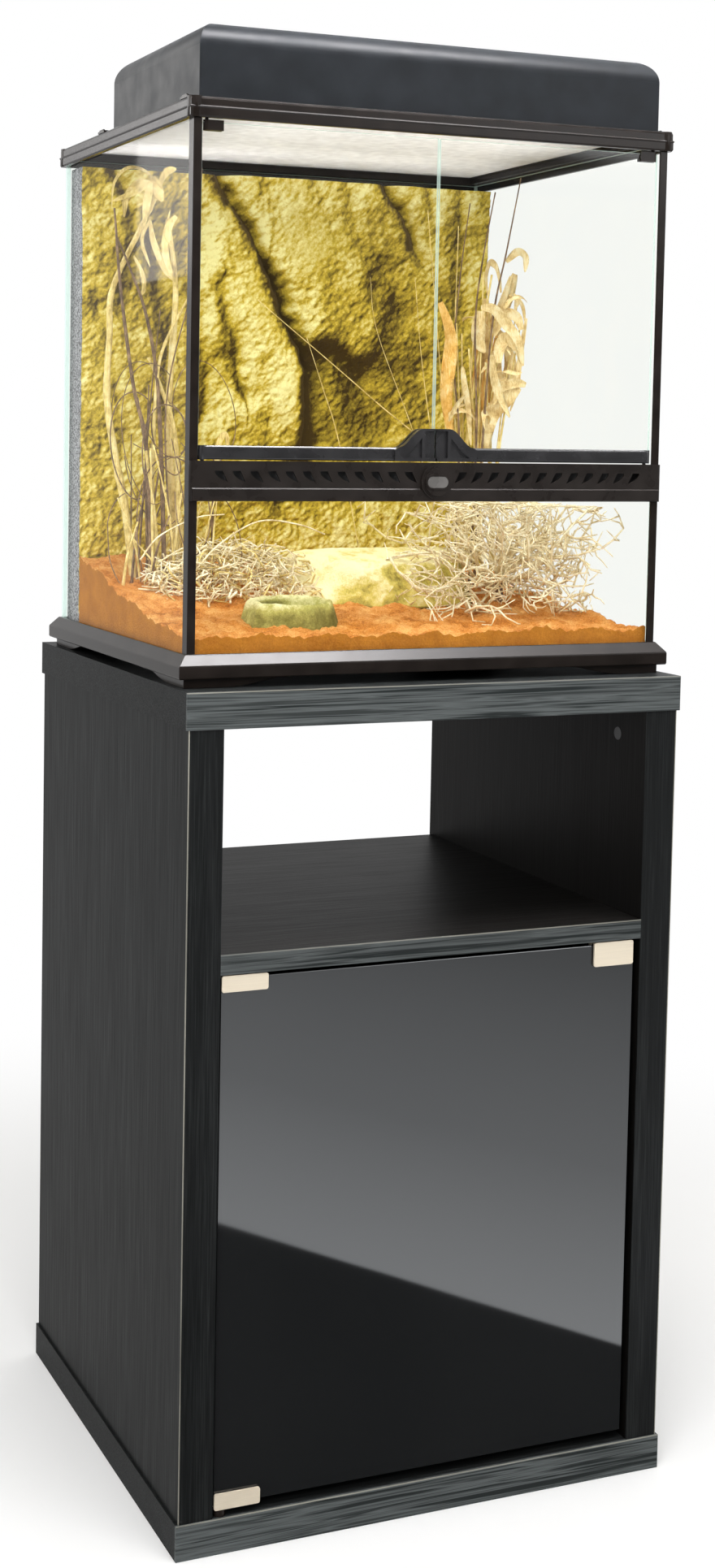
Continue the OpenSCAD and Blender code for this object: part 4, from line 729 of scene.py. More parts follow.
def sandHeight(x, y):
    v = sandFill
    back = max(0.0, (y - v["front"]) / (v["back"] - v["front"]))
    s = x / v["halfWidth"]
    rise = blendValues(v["depthLeft"], v["depthRight"], (s + 1) / 2)
    height = blendValues(v["depthFront"], rise, back ** 1.5)
    waves = 0.045 * math.sin(math.radians(600 * s + 40)) * math.sin(math.radians(1050 * back)) \
        + 0.03 * math.sin(math.radians(1500 * s - 1200 * back))
    return height + v["depthFront"] * waves


def makeSand():
    v = sandFill
    shape = Shape()
    for r in range(v["rows"]):
        t = r / (v["rows"] - 1)
        y = blendValues(v["front"], v["back"], t)
        for c in range(v["columns"]):
            x = (2 * c / (v["columns"] - 1) - 1) * v["halfWidth"]
            height = sandHeight(x, y)
            height += roughness3(x, y, 1, 58) * v["drift"] + roughness3(x, y, 5, 24) * v["drift"] * 0.7
            height += roughness3(x, y, 11, 9) * v["dent"] + roughness3(x, y, 2, 3.6) * v["dent"] * 0.45
            height += roughness3(x, 0, 31, 60) * v["edgeWave"] * (1 - smooth(0, 40, y - v["front"]))
            shape.points.append(inTank(x, y, height))
    columns, rows = v["columns"], v["rows"]
    shape.faces = gridFaces(columns, rows)
    closeGrid(shape, columns, rows, 2, inTank(0, 0, v["bottom"]).z)
    piece = shape.piece("sloping_sand", "cabinet_and_tank", "sand", "sand", ["sand_bed"])
    for polygon in piece.data.polygons:
        polygon.use_smooth = polygon.normal.z > 0.25


makeSand()


# cave rock and water dish: split stone shapes, made from flat faces worn at their edges

def splitStone(planes, detail, soft, rough, centre, seed, light):
    ball = bmesh.new()
    bmesh.ops.create_icosphere(ball, subdivisions=detail, radius=1)
    values = []
    for point in ball.verts:
        way = point.co.normalized()
        inverse = 0.0
        for normal, distance in planes:
            face = Vector(normal).normalized()
            lean = way.dot(face)
            if lean > 0:
                inverse += (lean / distance) ** soft
        reach = inverse ** (-1 / soft)
        bump = roughness3(way.x * reach + seed, way.y * reach, way.z * reach, 26) * rough \
            + roughness3(way.x * reach, way.y * reach + seed, way.z * reach, 9) * rough * 0.45 \
            + roughness3(way.x * reach, way.y * reach, way.z * reach + seed, 3.5) * rough * 0.16
        point.co = Vector(centre) + way * (reach + bump)
        values.append(bump / rough * 0.22)
    ball.normal_update()
    # painted light: faces turned towards the light are lighter; the tone also follows the bumps
    values = [min(1.0, max(0.0, 0.06 + value + 0.82 * max(0.0, point.normal.dot(Vector(light)))))
              for point, value in zip(ball.verts, values)]
    return ball, values


cave = {
    "at": (45.7, 11.0), "seat": 62.0, "middle": 26.0, "detail": 6, "soft": 16, "rough": 2.2,
    "planes": [((-0.02, -0.16, 1), 37), ((-0.62, -0.62, 0.72), 62), ((0.16, -1, 0.5), 52),
               ((1, -0.15, 0.22), 113),
               ((-1, -0.22, 0.62), 96), ((0, 1, 0.2), 55), ((-0.25, -1, 0.2), 60), ((0, 0, -1), 26)],
    "mouthWidth": 44.0, "mouthHeight": 30.0, "mouthFrom": 60, "mouthDepth": 95,
    "seed": 3.0, "light": (-0.5, -0.34, 0.8),
}


def makeCaveRock():
    v = cave
    centre = (v["at"][0], v["at"][1], v["seat"] + v["middle"])
    ball, values = splitStone(v["planes"], v["detail"], v["soft"], v["rough"], centre, v["seed"], v["light"])
    for point in ball.verts:
        inside = abs(point.co.y - v["at"][1]) / (v["mouthWidth"] / 2)
        height = (point.co.z - v["seat"]) / v["mouthHeight"]
        if point.co.x > v["at"][0] + v["mouthFrom"] and inside < 1.25 and height < 1.25:  # on its right end
            depth = (1 - smooth(0.8, 1.2, inside)) * (1 - smooth(0.85, 1.2, height))
            point.co.x -= v["mouthDepth"] * depth
            point.co.y = blendValues(point.co.y, v["at"][1] + (point.co.y - v["at"][1]) * 0.9, depth)
    for point in ball.verts:
        point.co = inTank(*point.co)
    mesh = bpy.data.meshes.new("split_cave_rock")
    ball.to_mesh(mesh)
    ball.free()
    mesh.polygons.foreach_set("use_smooth", [True] * len(mesh.polygons))
    dressPiece("split_cave_rock", mesh, "cabinet_and_tank", "caveRock", ["cave_rock"], values)


makeCaveRock()

dish = {
    "at": (-128.6, -129.8), "seat": 50.0, "halfLength": 61.0, "halfDepth": 44.0,
    "sides": [8, 52, 97, 140, 183, 228, 262, 301, 338],  # directions of its chiselled faces, degrees
    "rough": 1.5, "tip": 0.09,  # the rim rises this share of the way back
    "around": 220,
    # each ring: share of the outline, height
    "rings": [(0.97, 0.0), (1.0, 2.0), (0.985, 8.0), (0.955, 14.0), (0.93, 20.0), (0.90, 26.0), (0.87, 30.5),
              (0.845, 33.0), (0.80, 34.0), (0.75, 33.5), (0.71, 31.5), (0.68, 27.0), (0.655, 22.0),
              (0.62, 17.5),
              (0.56, 14.8), (0.45, 13.8), (0.3, 13.2), (0.15, 13.0)],
}


def makeDish():
    v = dish
    around, rings = v["around"], v["rings"]
    shape = Shape()
    values = []
    for share, height in rings:
        for k in range(around):
            angle = 360 * k / around
            reach = min(1 / max(0.3, math.cos(math.radians((angle - side + 180) % 360 - 180)))
                        for side in v["sides"]) * 0.93
            x = v["halfLength"] * share * reach * math.cos(math.radians(angle))
            y = v["halfDepth"] * share * reach * math.sin(math.radians(angle))
            chip = roughness3(x, y, height, 13) * v["rough"] + roughness3(x, y, height + 40,
                                                                          5) * v["rough"] * 0.6
            calm = 1.0 if share > 0.7 else 0.45
            x *= 1 + chip * calm * 0.018
            y *= 1 + chip * calm * 0.018
            z = height + (chip * calm * 0.8 if height > 1 else 0)
            # painted light and shade: the rim's top lighter, the hollow lighter towards the right, the front right
            # side darker
            lit = 0.34 + 0.3 * smooth(20, 33, height) if share > 0.7 else 0.16 + 0.5 * smooth(-20, 30, x)
            values.append(min(1.0, max(0.0, lit + chip * 0.12 - 0.14 * math.cos(math.radians(angle + 30)))))
            z += y * v["tip"] * min(1, height / 14)
            shape.points.append(inTank(v["at"][0] + x, v["at"][1] + y, v["seat"] + z))
    for r in range(len(rings) - 1):
        for k in range(around):
            n = (k + 1) % around
            shape.faces.append((r * around + k, r * around + n, (r + 1) * around + n, (r + 1) * around + k))
    shape.faces.append(tuple(range(around - 1, -1, -1)))
    last = (len(rings) - 1) * around
    shape.faces.append(tuple(last + k for k in range(around)))
    shape.piece("chiselled_water_dish", "cabinet_and_tank", "dishRock", "rock", ["water_dish"], values)


makeDish()


# dried plants

def onSand(x, y, sink=3.0):
    return sandHeight(x, y) - sink


def cane(shape, places, thick, steps=7, joints=5, tip=0.45):
    # a jointed stem through places; each joint is a swollen ring
    line = curveThrough([inTank(*p) for p in places], steps)
    radii = []
    for i in range(len(line)):
        t = i / (len(line) - 1)
        swell = 1 + 0.28 * max(0.0, 1 - abs(math.sin(math.pi * t * joints)) * 4.5)
        radii.append(thick / 2 * mm * blendValues(1, tip, t) * swell)
    tube(shape, line, radii, 8)


def curlyLeaf(shape, start, way, length, width, droop, twist, chance):
    line = []
    spot = Vector(inTank(*start))
    heading = Vector(way).normalized()
    stepLength = length * mm / 14
    sway = chance.uniform(0, 6.28)
    turnAxis = heading.cross(Vector((0, 0, 1)))
    if turnAxis.length < 0.01:
        turnAxis = Vector((1, 0, 0))
    turnAxis.normalize()
    for i in range(15):
        line.append(spot.copy())
        spot = spot + heading * stepLength
        heading = Matrix.Rotation(-math.radians(droop / 14 * (0.4 + i / 9)), 3, turnAxis) @ heading
        heading = Matrix.Rotation(math.radians(twist / 14 + 9 * math.sin(sway + i * 0.8)), 3, "Z") @ heading
    widths = [width * mm * max(0.06, math.sin(math.pi * (0.08 + 0.92 * i / 14)) ** 0.8) for i in range(15)]
    up = Vector((chance.uniform(-0.6, 0.6), chance.uniform(-1, -0.2), 0.8))
    ribbon(shape, line, widths, up, 0.35)


def bladeLeaf(shape, places, width, lean):  # a broad leaf whose flat side looks to the front
    line = curveThrough([inTank(*p) for p in places], 6)
    count = len(line) - 1
    widths = [width * mm * max(0.14, math.sin(math.pi * (0.08 + 0.9 * i / count)) ** 0.6)
              for i in range(count + 1)]
    ribbon(shape, line, widths, Vector((lean, -1, 0.3 - abs(lean))), 0.3)


stalkBed = {
    "seed": 11,
    # the pale canes: points from the foot to the top, and thickness
    "canes": [([(-236, 98, 70), (-252, 96, 180), (-266, 96, 245), (-276, 98, 314), (-275, 94, 388),
                (-270, 98, 446),
                (-234, 94, 524), (-217, 98, 557), (-202, 102, 592)], 10.5),
              ([(-182, 104, 70), (-187, 100, 165), (-196, 96, 250), (-196, 98, 320), (-191, 94, 423),
                (-192, 96, 470),
                (-202, 94, 531)], 11.5),
              ([(-186, 88, 70), (-188, 84, 180), (-194, 82, 271), (-214, 84, 332), (-227, 88, 363)], 8.0),
              ([(-224, 82, 90), (-222, 80, 250), (-219, 78, 340), (-208, 82, 380), (-189, 86, 415),
                (-172, 80, 449)], 5.5),
              ([(-214, 77, 70), (-222, 70, 160), (-238, 62, 250)], 7.0)],
    "darkCanes": [([(-226, 66, 70), (-235, 68, 249), (-252, 72, 331), (-268, 74, 441), (-276, 70, 509),
                    (-278, 72, 538)], 6.0),
                  ([(-208, 70, 70), (-215, 72, 250), (-221, 78, 350), (-237, 74, 418), (-255, 76, 466),
                    (-274, 78, 508)], 6.0),
                  ([(-222, 90, 70), (-228, 88, 210), (-226, 88, 330)], 4.5),
                  ([(-196, 70, 80), (-214, 60, 300), (-180, 60, 460), (-172, 58, 590)], 2.4),
                  ([(-240, 84, 80), (-228, 80, 290), (-214, 84, 420)], 3.0)],
    # leaves: points and width
    "leaves": [([(-194, 88, 456), (-208, 90, 472), (-221, 94, 504), (-228, 88, 532)], 9),
               ([(-199, 86, 497), (-208, 88, 513), (-200, 92, 542)], 6),
               ([(-195, 84, 534), (-204, 86, 520), (-207, 88, 490), (-198, 84, 460)], 10),
               ([(-213, 84, 565), (-235, 86, 586), (-258, 86, 588), (-274, 86, 570), (-277, 86, 540)], 4),
               ([(-226, 82, 571), (-246, 84, 569), (-260, 84, 552), (-262, 84, 530)], 12),
               ([(-229, 80, 572), (-233, 82, 552), (-236, 84, 520)], 10),
               ([(-236, 80, 566), (-254, 82, 557), (-276, 84, 548)], 7),
               ([(-216, 92, 572), (-205, 94, 588), (-192, 94, 592)], 10),
               ([(-226, 86, 580), (-219, 90, 567), (-210, 92, 552)], 16),
               ([(-249, 84, 484), (-238, 84, 463), (-235, 86, 444), (-242, 84, 436)], 6),
               ([(-229, 80, 530), (-240, 82, 503), (-228, 84, 472)], 6),
               ([(-150, 40, 214), (-156, 38, 250), (-146, 36, 272), (-140, 36, 244)], 7)],
    "vines": 13, "vineField": ((-262, -150), (20, 110), (150, 330)), "vineRadius": (18, 55),
    "vineLimits": (-281, -120),
    "shoots": 26, "shootField": ((-268, -160), (30, 125)), "shootHeight": (60, 190),
}


def makeStalks():
    v = stalkBed
    chance = random.Random(v["seed"])
    pale, dark, leaf = Shape(), Shape(), Shape()
    for places, thick in v["canes"]:
        cane(pale, places, thick)
    for places, thick in v["darkCanes"]:
        cane(dark, places, thick, joints=4, tip=0.35)
    for i, (places, width) in enumerate(v["leaves"]):
        bladeLeaf(leaf, places, width, 0.5 * math.sin(i * 2.1))
    for i in range(v["vines"]):  # thin curling runners round the feet
        x, y, z = [chance.uniform(*span) for span in v["vineField"]]
        radius = chance.uniform(*v["vineRadius"])
        phase, tilt = chance.uniform(0, 6.28), chance.uniform(-0.5, 0.5)
        line = []
        for k in range(26):
            a = phase + k * 0.19
            px = max(v["vineLimits"][0], min(v["vineLimits"][1], x + radius * math.cos(a) * (1 - 0.012 * k)))
            level = max(onSand(px, y), z + radius * math.sin(a) * 1.5 - k * 2.5)
            line.append(inTank(px, y + radius * 0.4 * math.sin(a + tilt), level))
        tube(dark, line, [chance.uniform(0.5, 0.9) * mm] * len(line), 5)
    for i in range(v["shoots"]):  # short stubble between the canes
        x, y = [chance.uniform(*span) for span in v["shootField"]]
        foot = onSand(x, y, 6)
        lean, away = chance.uniform(-40, 40), chance.uniform(-20, 20)
        top = chance.uniform(*v["shootHeight"])
        places = [(x, y, foot), (x + lean * 0.3, y + away * 0.4, foot + top * 0.5),
                  (max(-280, x + lean), y + away, foot + top)]
        cane(pale if i % 3 else dark, places, chance.uniform(1.6, 4.5), 4, 2)
    pale.piece("jointed_pale_canes", "cabinet_and_tank", "straw", "dry_plant", ["left_stalks"])
    dark.piece("brown_canes_and_runners", "cabinet_and_tank", "brown", "dry_plant")
    leaf.piece("curled_cane_leaves", "cabinet_and_tank", "straw", "dry_plant")


makeStalks()

grassTuft = {
    "seed": 23,
    "feet": [(197, 70), (208, 86), (219, 68), (231, 90), (242, 73), (213, 60), (236, 60)],
    # pale leaves, then orange ones: points and width
    "leaves": [([(238, 44, 495), (256, 48, 508), (270, 52, 502), (269, 50, 484)], 11),
               ([(240, 60, 457), (238, 62, 475), (234, 66, 491), (223, 62, 494), (219, 62, 474),
                 (225, 66, 452)], 9),
               ([(200, 38, 435), (218, 40, 434), (236, 44, 419), (256, 42, 396), (266, 44, 364)], 15),
               ([(207, 52, 432), (206, 54, 414), (209, 58, 394), (216, 54, 380)], 18),
               ([(262, 64, 482), (254, 68, 456), (246, 70, 436), (230, 66, 420)], 21),
               ([(252, 56, 478), (243, 60, 447), (236, 64, 423), (230, 58, 405)], 17),
               ([(264, 46, 410), (257, 48, 426), (243, 52, 430), (233, 48, 419), (227, 50, 401)], 14),
               ([(229, 42, 367), (231, 44, 386), (243, 48, 398), (257, 44, 388), (267, 46, 366)], 17),
               ([(217, 40, 376), (221, 42, 350), (232, 46, 327), (247, 42, 298)], 16),
               ([(264, 50, 338), (248, 52, 324), (230, 56, 306), (221, 52, 284), (222, 54, 254)], 24),
               ([(271, 44, 340), (256, 46, 342), (238, 50, 335), (226, 46, 314)], 13),
               ([(184, 54, 361), (188, 56, 340), (197, 60, 306), (200, 56, 262)], 9),
               ([(164, 50, 292), (173, 52, 309), (190, 56, 326)], 9),
               ([(240, 60, 392), (238, 62, 359), (246, 66, 334), (254, 62, 360), (250, 64, 394)], 15),
               ([(274, 52, 425), (270, 54, 392), (268, 58, 360), (264, 54, 336), (256, 56, 306)], 7),
               ([(234, 54, 408), (246, 56, 391), (259, 60, 360), (252, 56, 326)], 16),
               ([(244, 66, 432), (258, 68, 416), (263, 72, 388), (258, 68, 358)], 13),
               ([(256, 54, 456), (270, 56, 441), (277, 60, 420)], 5),
               ([(228, 76, 450), (232, 78, 400), (226, 80, 350), (232, 78, 300)], 14)],
    "orangeLeaves": [([(152, 58, 441), (165, 60, 412), (171, 64, 388), (166, 60, 356), (165, 62, 325),
                       (172, 66, 293), (178, 60, 262)], 20),
                     ([(225, 64, 372), (223, 66, 334), (218, 70, 294), (219, 66, 256)], 13),
                     ([(246, 74, 409), (245, 76, 375), (240, 80, 335), (246, 76, 300)], 15),
                     ([(214, 76, 430), (220, 78, 380), (212, 80, 330)], 12)],
    "strayLeaves": 12, "strayField": ((205, 255), (36, 90), (270, 440)),
    # thin twigs: points and thickness; the first three are brown
    "twigs": [([(200, 40, 80), (206, 36, 270), (221, 44, 422), (236, 40, 507), (252, 36, 600)], 3.6),
              ([(196, 44, 80), (200, 42, 270), (199, 50, 413), (205, 46, 493), (219, 42, 581)], 3.6),
              ([(180, 56, 80), (182, 54, 265), (177, 64, 373), (182, 60, 480), (191, 56, 567)], 3.0),
              ([(190, 60, 85), (170, 80, 330), (150, 92, 560)], 1.8),
              ([(200, 66, 85), (182, 70, 330), (186, 76, 540)], 2.2),
              ([(180, 60, 85), (140, 72, 340), (128, 80, 470)], 1.6),
              ([(240, 30, 80), (180, 50, 220), (60, 62, 320), (-95, 64, 436)], 2.2),
              ([(60, 70, 90), (20, 66, 260), (-6, 62, 330), (-30, 60, 392)], 1.6),
              ([(175, 60, 85), (130, 60, 250), (70, 66, 400), (60, 70, 470)], 1.2)],
}


def makeGrass():
    v = grassTuft
    chance = random.Random(v["seed"])
    stems, leaf, rust = Shape(), Shape(), Shape()
    for x, y in v["feet"]:
        foot = onSand(x, y, 12)
        for n in range(3):
            top = chance.uniform(260, 420)
            lean = chance.uniform(-26, 34)
            places = [(x, y, foot), (x + lean * 0.2, y, foot + top * 0.5),
                      (min(278, x + lean), y - 8, foot + top)]
            cane(stems, places, chance.uniform(2.6, 5.2), 6, 4)
    for i, (places, width) in enumerate(v["leaves"]):
        bladeLeaf(leaf, places, width, 0.5 * math.sin(i * 1.7))
    for i, (places, width) in enumerate(v["orangeLeaves"]):
        bladeLeaf(rust, places, width, 0.3 * math.sin(i * 2.3))
    for i in range(v["strayLeaves"]):  # small curls among the broad blades
        x, y, z = [chance.uniform(*span) for span in v["strayField"]]
        turn = chance.uniform(0, 2 * math.pi)
        way = (math.cos(turn) * 0.5 - 0.2, math.sin(turn) * 0.4, chance.uniform(0.3, 1.4))
        curlyLeaf(leaf, (x, y, z), way, chance.uniform(40, 80), chance.uniform(6, 12),
                  chance.uniform(120, 230),
                  chance.uniform(-200, 200), chance)
    brown = Shape()
    for i, (places, thick) in enumerate(v["twigs"]):
        cane(brown if i < 3 else stems, places, thick, 8, 7, 0.4)
    stems.piece("grass_stems", "cabinet_and_tank", "straw", "dry_plant", ["right_grass"])
    leaf.piece("curled_grass_leaves", "cabinet_and_tank", "paleLeaf", "dry_plant")
    rust.piece("rust_grass_leaves", "cabinet_and_tank", "orange", "dry_plant")
    brown.piece("brown_straight_twigs", "cabinet_and_tank", "brown", "dry_plant")


makeGrass()

twigBush = {
    "seed": 5, "at": (188.0, -44.0), "stump": 34.0, "stumpThick": 12.0,
    "branches": 30, "reach": 160.0, "rise": 124.0,
    "limits": ((34, 280), (-190, 120)), "forks": 120, "spread": (128.0, 90.0),
}


def growTwig(shape, start, heading, length, thick, depth, chance, limits, ceiling):
    # a twig in short straight lengths with a kink at each, and side twigs at the kinks
    pieces = 4 if depth else 3
    line = [Vector(start)]
    heading = heading.normalized()
    for i in range(pieces):
        kink = Vector((chance.gauss(0, 0.46), chance.gauss(0, 0.46), chance.gauss(0, 0.34)))
        heading = (heading + kink).normalized()
        spot = line[-1] + heading * (length / pieces)
        for axis in (0, 1):
            low, high = limits[axis]
            if not low < spot[axis] < high:
                heading[axis] *= -0.5
                spot = line[-1] + heading * (length / pieces)
                spot[axis] = min(high, max(low, spot[axis]))
        floor = sandHeight(spot.x, spot.y) + 2
        if spot.z < floor:
            spot.z = floor + 1
            heading.z = abs(heading.z) * 0.4
        if spot.z > ceiling:
            spot.z = ceiling
            heading.z = -abs(heading.z) * 0.3
        line.append(spot)
        if depth and i < pieces - 1 or depth > 1:
            side = heading.cross(Vector((chance.gauss(0, 1), chance.gauss(0, 1),
                                         chance.gauss(0, 1)))).normalized()
            growTwig(shape, spot, heading * 0.75 + side * 0.7, length * chance.uniform(0.4, 0.62),
                     thick * 0.8,
                     depth - 1, chance, limits, ceiling)
    count = len(line)
    tube(shape, [inTank(*p) for p in line], [thick / 2 * mm * (1 - 0.55 * i / (count - 1))
                                             for i in range(count)], 5)


def makeTwigBush():
    v = twigBush
    chance = random.Random(v["seed"])
    x, y = v["at"]
    foot = onSand(x, y, 14)
    stump = Shape()
    line = [(x, y, foot), (x + 2, y, foot + 14), (x - 1, y, foot + 30), (x, y, foot + v["stump"] + 14)]
    radii = [v["stumpThick"] / 2 * mm * s for s in (1.3, 1.0, 1.08, 0.85)]
    tube(stump, [inTank(*p) for p in line], radii, 12)
    stump.piece("bush_stump", "cabinet_and_tank", "brown", "dry_plant", ["right_twig_bush"])
    twigs = Shape()
    for i in range(v["branches"]):
        turn = 2 * math.pi * (i + chance.uniform(0, 0.6)) / v["branches"]
        rise = chance.uniform(0.1, 0.95)
        heading = Vector((math.cos(turn), math.sin(turn) * 0.85, rise))
        start = Vector((x, y, foot + v["stump"] + chance.uniform(-8, 14)))
        growTwig(twigs, start, heading, chance.uniform(0.7, 1.1) * v["reach"], chance.uniform(3.2, 4.8), 2,
                 chance,
                 v["limits"], onSand(x, y) + v["rise"])
    for i in range(v["forks"]):  # forked twigs lying through the bush, denser towards its middle
        turn, share = chance.uniform(0, 2 * math.pi), chance.uniform(0, 1) ** 0.6
        px = x + v["spread"][0] * share * math.cos(turn)
        py = y + v["spread"][1] * share * math.sin(turn)
        px = min(276, max(v["limits"][0][0], px))
        level = sandHeight(px, py) + 24 * (1 - share) + 6 \
            + chance.uniform(0.05, 1) * (v["rise"] - 22) * math.sqrt(max(0.05, 1 - share * share))
        heading = Vector((math.cos(turn) + chance.gauss(0, 0.8), math.sin(turn) + chance.gauss(0, 0.8),
                          chance.gauss(0.1, 0.5)))
        growTwig(twigs, Vector((px, py, level)), heading, chance.uniform(28, 60), chance.uniform(2.2, 3.4),
                 1, chance,
                 v["limits"], sandHeight(x, y) + v["rise"])
    twigs.piece("pale_angular_twigs", "cabinet_and_tank", "cream", "dry_plant")


makeTwigBush()

dryClump = {
    "seed": 8, "at": (-134.0, 24.0), "sticks": 760, "halfLength": 112.0, "halfDepth": 78.0, "height": 62.0,
    "stickLength": (14, 40), "stickThick": (1.3, 2.9), "leftLimit": -281,
    # long runners over the clump: points and thickness
    "runners": [([(-262, 10, 122), (-240, 6, 150), (-196, 0, 172), (-160, 0, 176)], 2.2),
                ([(-200, -6, 108), (-170, -8, 140), (-120, -10, 168), (-66, -6, 164), (-30, -4, 152)], 2.4),
                ([(-232, 30, 118), (-190, 20, 138), (-130, 10, 122), (-80, 4, 108)], 2.0)],
}


def makeClump():
    v = dryClump
    chance = random.Random(v["seed"])
    pale, tan = Shape(), Shape()
    for i in range(v["sticks"]):
        turn = chance.uniform(0, 2 * math.pi)
        share = math.sqrt(chance.uniform(0, 1))
        x = v["at"][0] + v["halfLength"] * share * math.cos(turn)
        y = v["at"][1] + v["halfDepth"] * share * math.sin(turn)
        x = max(v["leftLimit"] + 2, x)
        dome = v["height"] * math.sqrt(max(0.04, 1 - share * share))
        z = onSand(x, y, 0) + chance.uniform(0.02, 1) * dome
        way = Vector((chance.gauss(0, 1), chance.gauss(0, 0.8), chance.gauss(0.15, 0.6))).normalized()
        length = chance.uniform(*v["stickLength"])
        bend = Vector((chance.gauss(0, 4), chance.gauss(0, 4), chance.gauss(2, 3)))
        a = Vector((x, y, z)) - way * length / 2
        c = Vector((x, y, z)) + way * length / 2
        b = (a + c) / 2 + bend
        line = [a, b, c]
        for p in line:
            p.x = max(v["leftLimit"], p.x)
            p.z = max(p.z, onSand(p.x, p.y, 1))
        thick = chance.uniform(*v["stickThick"])
        target = pale if i % 4 else tan
        tube(target, [inTank(*p) for p in line], [thick / 2 * mm, thick / 2 * mm, thick * 0.3 * mm], 5)
    for places, thick in v["runners"]:
        cane(pale, places, thick, 6, 3, 0.6)
    pale.piece("dry_clump_sticks", "cabinet_and_tank", "cream", "dry_plant", ["left_twig_bush"])
    tan.piece("dry_clump_stems", "cabinet_and_tank", "straw", "dry_plant")


makeClump()


# woven wire of the screen cover: one layer of wires from front to back, one from left to right above it

screenCloth = {"halfWidth": 274.0, "halfDepth": 208.0, "level": 620.4, "pitch": 2.3, "wire": 0.75}


def makeScreenCloth():
    v = screenCloth
    width, depth, wire = v["halfWidth"], v["halfDepth"], v["wire"]
    shape = Shape()
    for half, reach, level in ((width, depth, v["level"]), (depth, width, v["level"] + wire * 0.8)):
        count = int(2 * half / v["pitch"])
        for i in range(count + 1):
            a = -half + 2 * half * i / count
            ends = [(a, -reach), (a, reach)] if half == width else [(-reach, a), (reach, a)]
            tube(shape, [inTank(*end, level) for end in ends], [wire / 2 * mm] * 2, 4)
    shape.piece("screen_wire_cloth", "screen_cover", "wire", "mesh_steel", ["screen_mesh"], flat=True)


makeScreenCloth()


# studio: pale floor, white surround, one large soft light; the cards are only seen in reflections

studio = {
    "ambient": 0.84, "floorColour": 0.93, "floorSize": 6, "fadeFrom": 0.75, "fadeTo": 1.7,
    # large soft lamps: name, watts, place, size
    "lamps": [("keyLight", 58.0, (-2.3, -2.5, 2.2), (1.5, 1.2)),
              ("highLight", 40.0, (0.1, -1.7, 3.3), (1.8, 0.9))],
    "aim": (0, 0, 1.1),
    # soft glow inside the tank, from the canopy's lamps and thrown up by the light sand: watts, place, turn, spread
    "glows": [("downGlow", 0.5, (0.02, -0.06, 1.555), 0, 120), ("upGlow", 0.9, (0, -0.02, 1.44), 180, 75)],
    "glowSize": (0.42, 0.3), "glowColour": (1, 0.96, 0.88),
    # two ground points whose mirror image crosses the door
    "shineEdge": ((0.0845, -1.1005), (0.4517, -0.5167)),
}


def stageSheet(name, corners):  # a flat sheet of the studio, with a material to fill in
    mesh = bpy.data.meshes.new(name)
    mesh.from_pydata(corners, [], [(0, 1, 2, 3)])
    sheet = newObject(name, mesh)
    material, tree, shader = startMaterial(name)
    mesh.materials.append(material)
    return sheet, tree, shader


def card(name, corners, strengthOf):
    # a sheet that only mirrors see; strengthOf builds its brightness from the material's nodes
    sheet, tree, shader = stageSheet(name, corners)
    tree.nodes.remove(shader)
    light = addNode(tree, "ShaderNodeEmission", {"Color": strengthOf(tree)})
    tree.links.new(light.outputs[0], tree.nodes["Material Output"].inputs["Surface"])
    for rays in ("camera", "diffuse", "shadow", "transmission"):
        setattr(sheet, "visible_" + rays, False)


def softLamp(name, power, where, size):
    data = bpy.data.lights.new(name, "AREA")
    data.shape = "RECTANGLE"
    data.size, data.size_y = size
    data.energy = power
    lamp = newObject(name, data)
    lamp.location = where
    lamp.visible_glossy = False
    return lamp


def makeWorld():
    world = bpy.data.worlds.new("studioWorld")
    bpy.context.scene.world = world
    world.use_nodes = True
    tree = world.node_tree
    tree.nodes.clear()
    soft = addNode(tree, "ShaderNodeBackground", {"Color": (1, 0.99, 0.97, 1), "Strength": studio["ambient"]})
    white = addNode(tree, "ShaderNodeBackground", {"Color": (1, 1, 1, 1), "Strength": 1.0})
    mixed = addNode(tree, "ShaderNodeMixShader", {0: directRays(tree), 1: soft.outputs[0],
                                                  2: white.outputs[0]})
    output = addNode(tree, "ShaderNodeOutputWorld")
    tree.links.new(mixed.outputs[0], output.inputs["Surface"])


def makeFloor():
    v = studio
    size = v["floorSize"]
    floor, tree, shader = stageSheet("studioFloor", [(-size, -size, 0), (size, -size, 0), (size, size, 0),
                                                     (-size, size, 0)])
    floor.location.z = -0.4 * mm
    shader.inputs["Base Color"].default_value = (v["floorColour"],) * 3 + (1,)
    shader.inputs["Roughness"].default_value = 0.9
    shader.inputs["Specular IOR Level"].default_value = 0
    away = addNode(tree, "ShaderNodeVectorMath", {0: place(tree)}, operation="LENGTH").outputs["Value"]
    fade = addNode(tree, "ShaderNodeMapRange", {"Value": away, "From Min": v["fadeFrom"],
                                                "From Max": v["fadeTo"]},
                   interpolation_type="SMOOTHSTEP").outputs["Result"]
    white = addNode(tree, "ShaderNodeEmission", {"Color": (1, 1, 1, 1), "Strength": 1.0})
    shown = addNode(tree, "ShaderNodeMixShader", {0: times(tree, fade, directRays(tree)),
                                                  1: shader.outputs[0],
                                                  2: white.outputs[0]})
    tree.links.new(shown.outputs[0], tree.nodes["Material Output"].inputs["Surface"])


